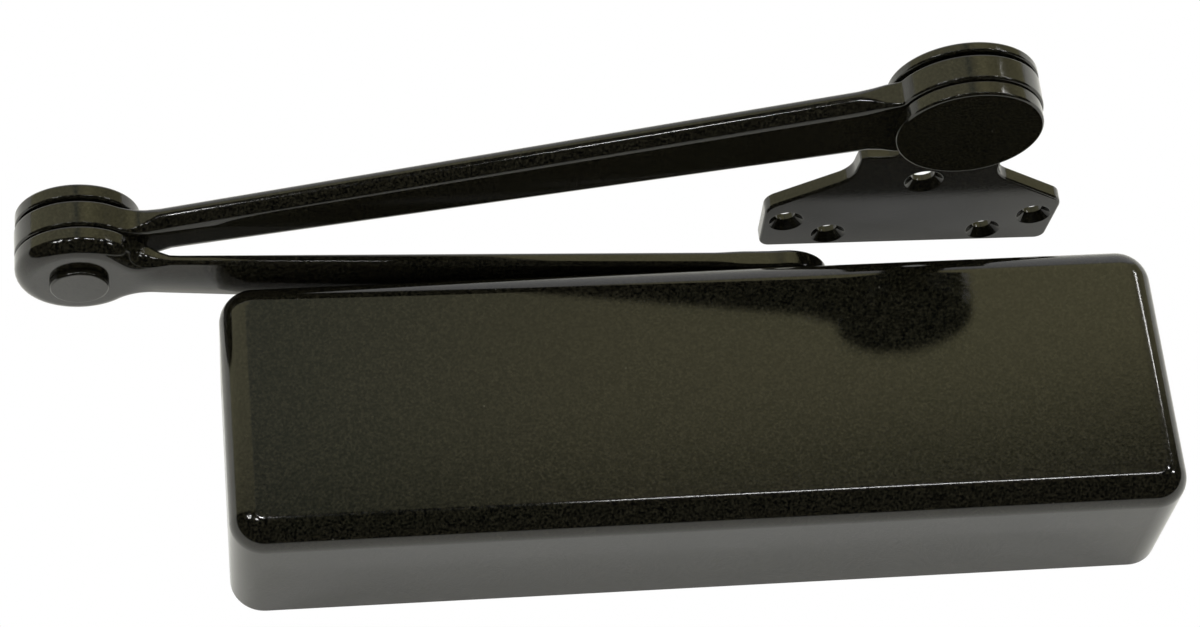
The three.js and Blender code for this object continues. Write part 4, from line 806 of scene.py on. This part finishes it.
# Long lamps above the bench that the closer lies on, door side down: direction, length, width, power.
LAMP_DISTANCE = 2.0
LAMPS = [
    ((0.24, -0.93, 0.27), 0.60, 0.03, 3.0),
    ((-0.12, -0.95, 0.27), 0.14, 0.03, 2.0),
    ((0.56, -0.78, 0.28), 0.14, 0.03, 2.0),
    ((0.70, -0.56, 0.436), 0.40, 0.03, 1.6),
    ((-0.52, -0.82, 0.20), 0.14, 0.04, 1.8),
    ((-0.66, -0.73, 0.18), 0.14, 0.04, 1.8),
    ((-0.60, -0.79, 0.12), 0.30, 0.04, 2.4),
    ((-0.30, -0.94, 0.10), 0.20, 0.03, 1.6),
    ((0.78, -0.60, 0.12), 0.30, 0.04, 2.4),
]
for i, (way, length, width, power) in enumerate(LAMPS):
    way = Vector(way).normalized()
    lamp_data = bpy.data.lights.new(f"lamp_{i}", "AREA")
    lamp_data.shape = "RECTANGLE"
    lamp_data.size = length
    lamp_data.size_y = width
    lamp_data.energy = power
    lamp = bpy.data.objects.new(f"lamp_{i}", lamp_data)
    bpy.context.scene.collection.objects.link(lamp)
    long_axis = (Vector((1, 0, 0)) - way * way.x).normalized()
    short_axis = way.cross(long_axis)
    lamp.matrix_world = Matrix((
        (long_axis.x, short_axis.x, way.x, 0),
        (long_axis.y, short_axis.y, way.y, 0),
        (long_axis.z, short_axis.z, way.z, 0),
        (0, 0, 0, 1),
    ))
    lamp.location = way * LAMP_DISTANCE

# The surroundings: a white bench on the door side, a white wall beyond it, and a dim room elsewhere.
world = bpy.data.worlds.new("surroundings")
bpy.context.scene.world = world
world.use_nodes = True
tree = world.node_tree
tree.nodes.clear()


def world_node(kind, **inputs):
    node = tree.nodes.new(kind)
    for key, value in inputs.items():
        node.inputs[key].default_value = value
    return node


def graded(factor, stops):
    node = tree.nodes.new("ShaderNodeValToRGB")
    elements = node.color_ramp.elements
    while len(elements) < len(stops):
        elements.new(0.5)
    for element, (position, colour) in zip(elements, stops):
        element.position = position
        element.color = (*colour, 1)
    tree.links.new(factor, node.inputs["Fac"])
    return node.outputs["Color"]


def blended(factor, first, second):
    node = tree.nodes.new("ShaderNodeMix")
    node.data_type = "RGBA"
    tree.links.new(factor, node.inputs["Factor"])
    tree.links.new(first, node.inputs[6])
    tree.links.new(second, node.inputs[7])
    return node.outputs[2]


def half_range(value):
    """From -1...1 to 0...1."""
    node = tree.nodes.new("ShaderNodeMath")
    node.operation = "MULTIPLY_ADD"
    node.inputs[1].default_value = 0.5
    node.inputs[2].default_value = 0.5
    tree.links.new(value, node.inputs[0])
    return node.outputs[0]


way = tree.nodes.new("ShaderNodeTexCoord").outputs["Generated"]
axes = tree.nodes.new("ShaderNodeSeparateXYZ")
tree.links.new(way, axes.inputs[0])
across, deep, tall = (half_range(axes.outputs[k]) for k in range(3))
ceiling = graded(across, [(0.30, (0.9, 0.86, 0.55)), (0.44, (0.9, 0.86, 0.55)), (0.50, (0.42, 0.45, 0.36)), (0.56, (0.88, 0.82, 0.49)),
                          (0.64, (1.15, 1.07, 0.60)), (0.85, (0.6, 0.56, 0.32))])
over = graded(tall, [(0.706, (0, 0, 0)), (0.718, (1, 1, 1)), (0.86, (1, 1, 1)), (0.90, (0, 0, 0))])
above = graded(tall, [(0.86, (0, 0, 0)), (0.90, (1, 1, 1))])
bench = graded(deep, [(0.49, (0, 0, 0)), (0.55, (1, 1, 1))])
white = world_node("ShaderNodeRGB").outputs[0]
white.default_value = (1.15, 1.15, 1.15, 1)
lit = world_node("ShaderNodeBackground", Strength=1.0)
dark = world_node("ShaderNodeRGB").outputs[0]
dark.default_value = (0.012, 0.012, 0.012, 1)
room = blended(above, blended(over, dark, ceiling), white)
tree.links.new(blended(bench, room, white), lit.inputs["Color"])
seen = world_node("ShaderNodeBackground", Color=(1, 1, 1, 1), Strength=1.0)
choose = tree.nodes.new("ShaderNodeMixShader")
path = tree.nodes.new("ShaderNodeLightPath")
tree.links.new(path.outputs["Is Camera Ray"], choose.inputs["Fac"])
tree.links.new(lit.outputs[0], choose.inputs[1])
tree.links.new(seen.outputs[0], choose.inputs[2])
output = tree.nodes.new("ShaderNodeOutputWorld")
tree.links.new(choose.outputs[0], output.inputs["Surface"])

bpy.context.scene.view_settings.view_transform = "Standard"
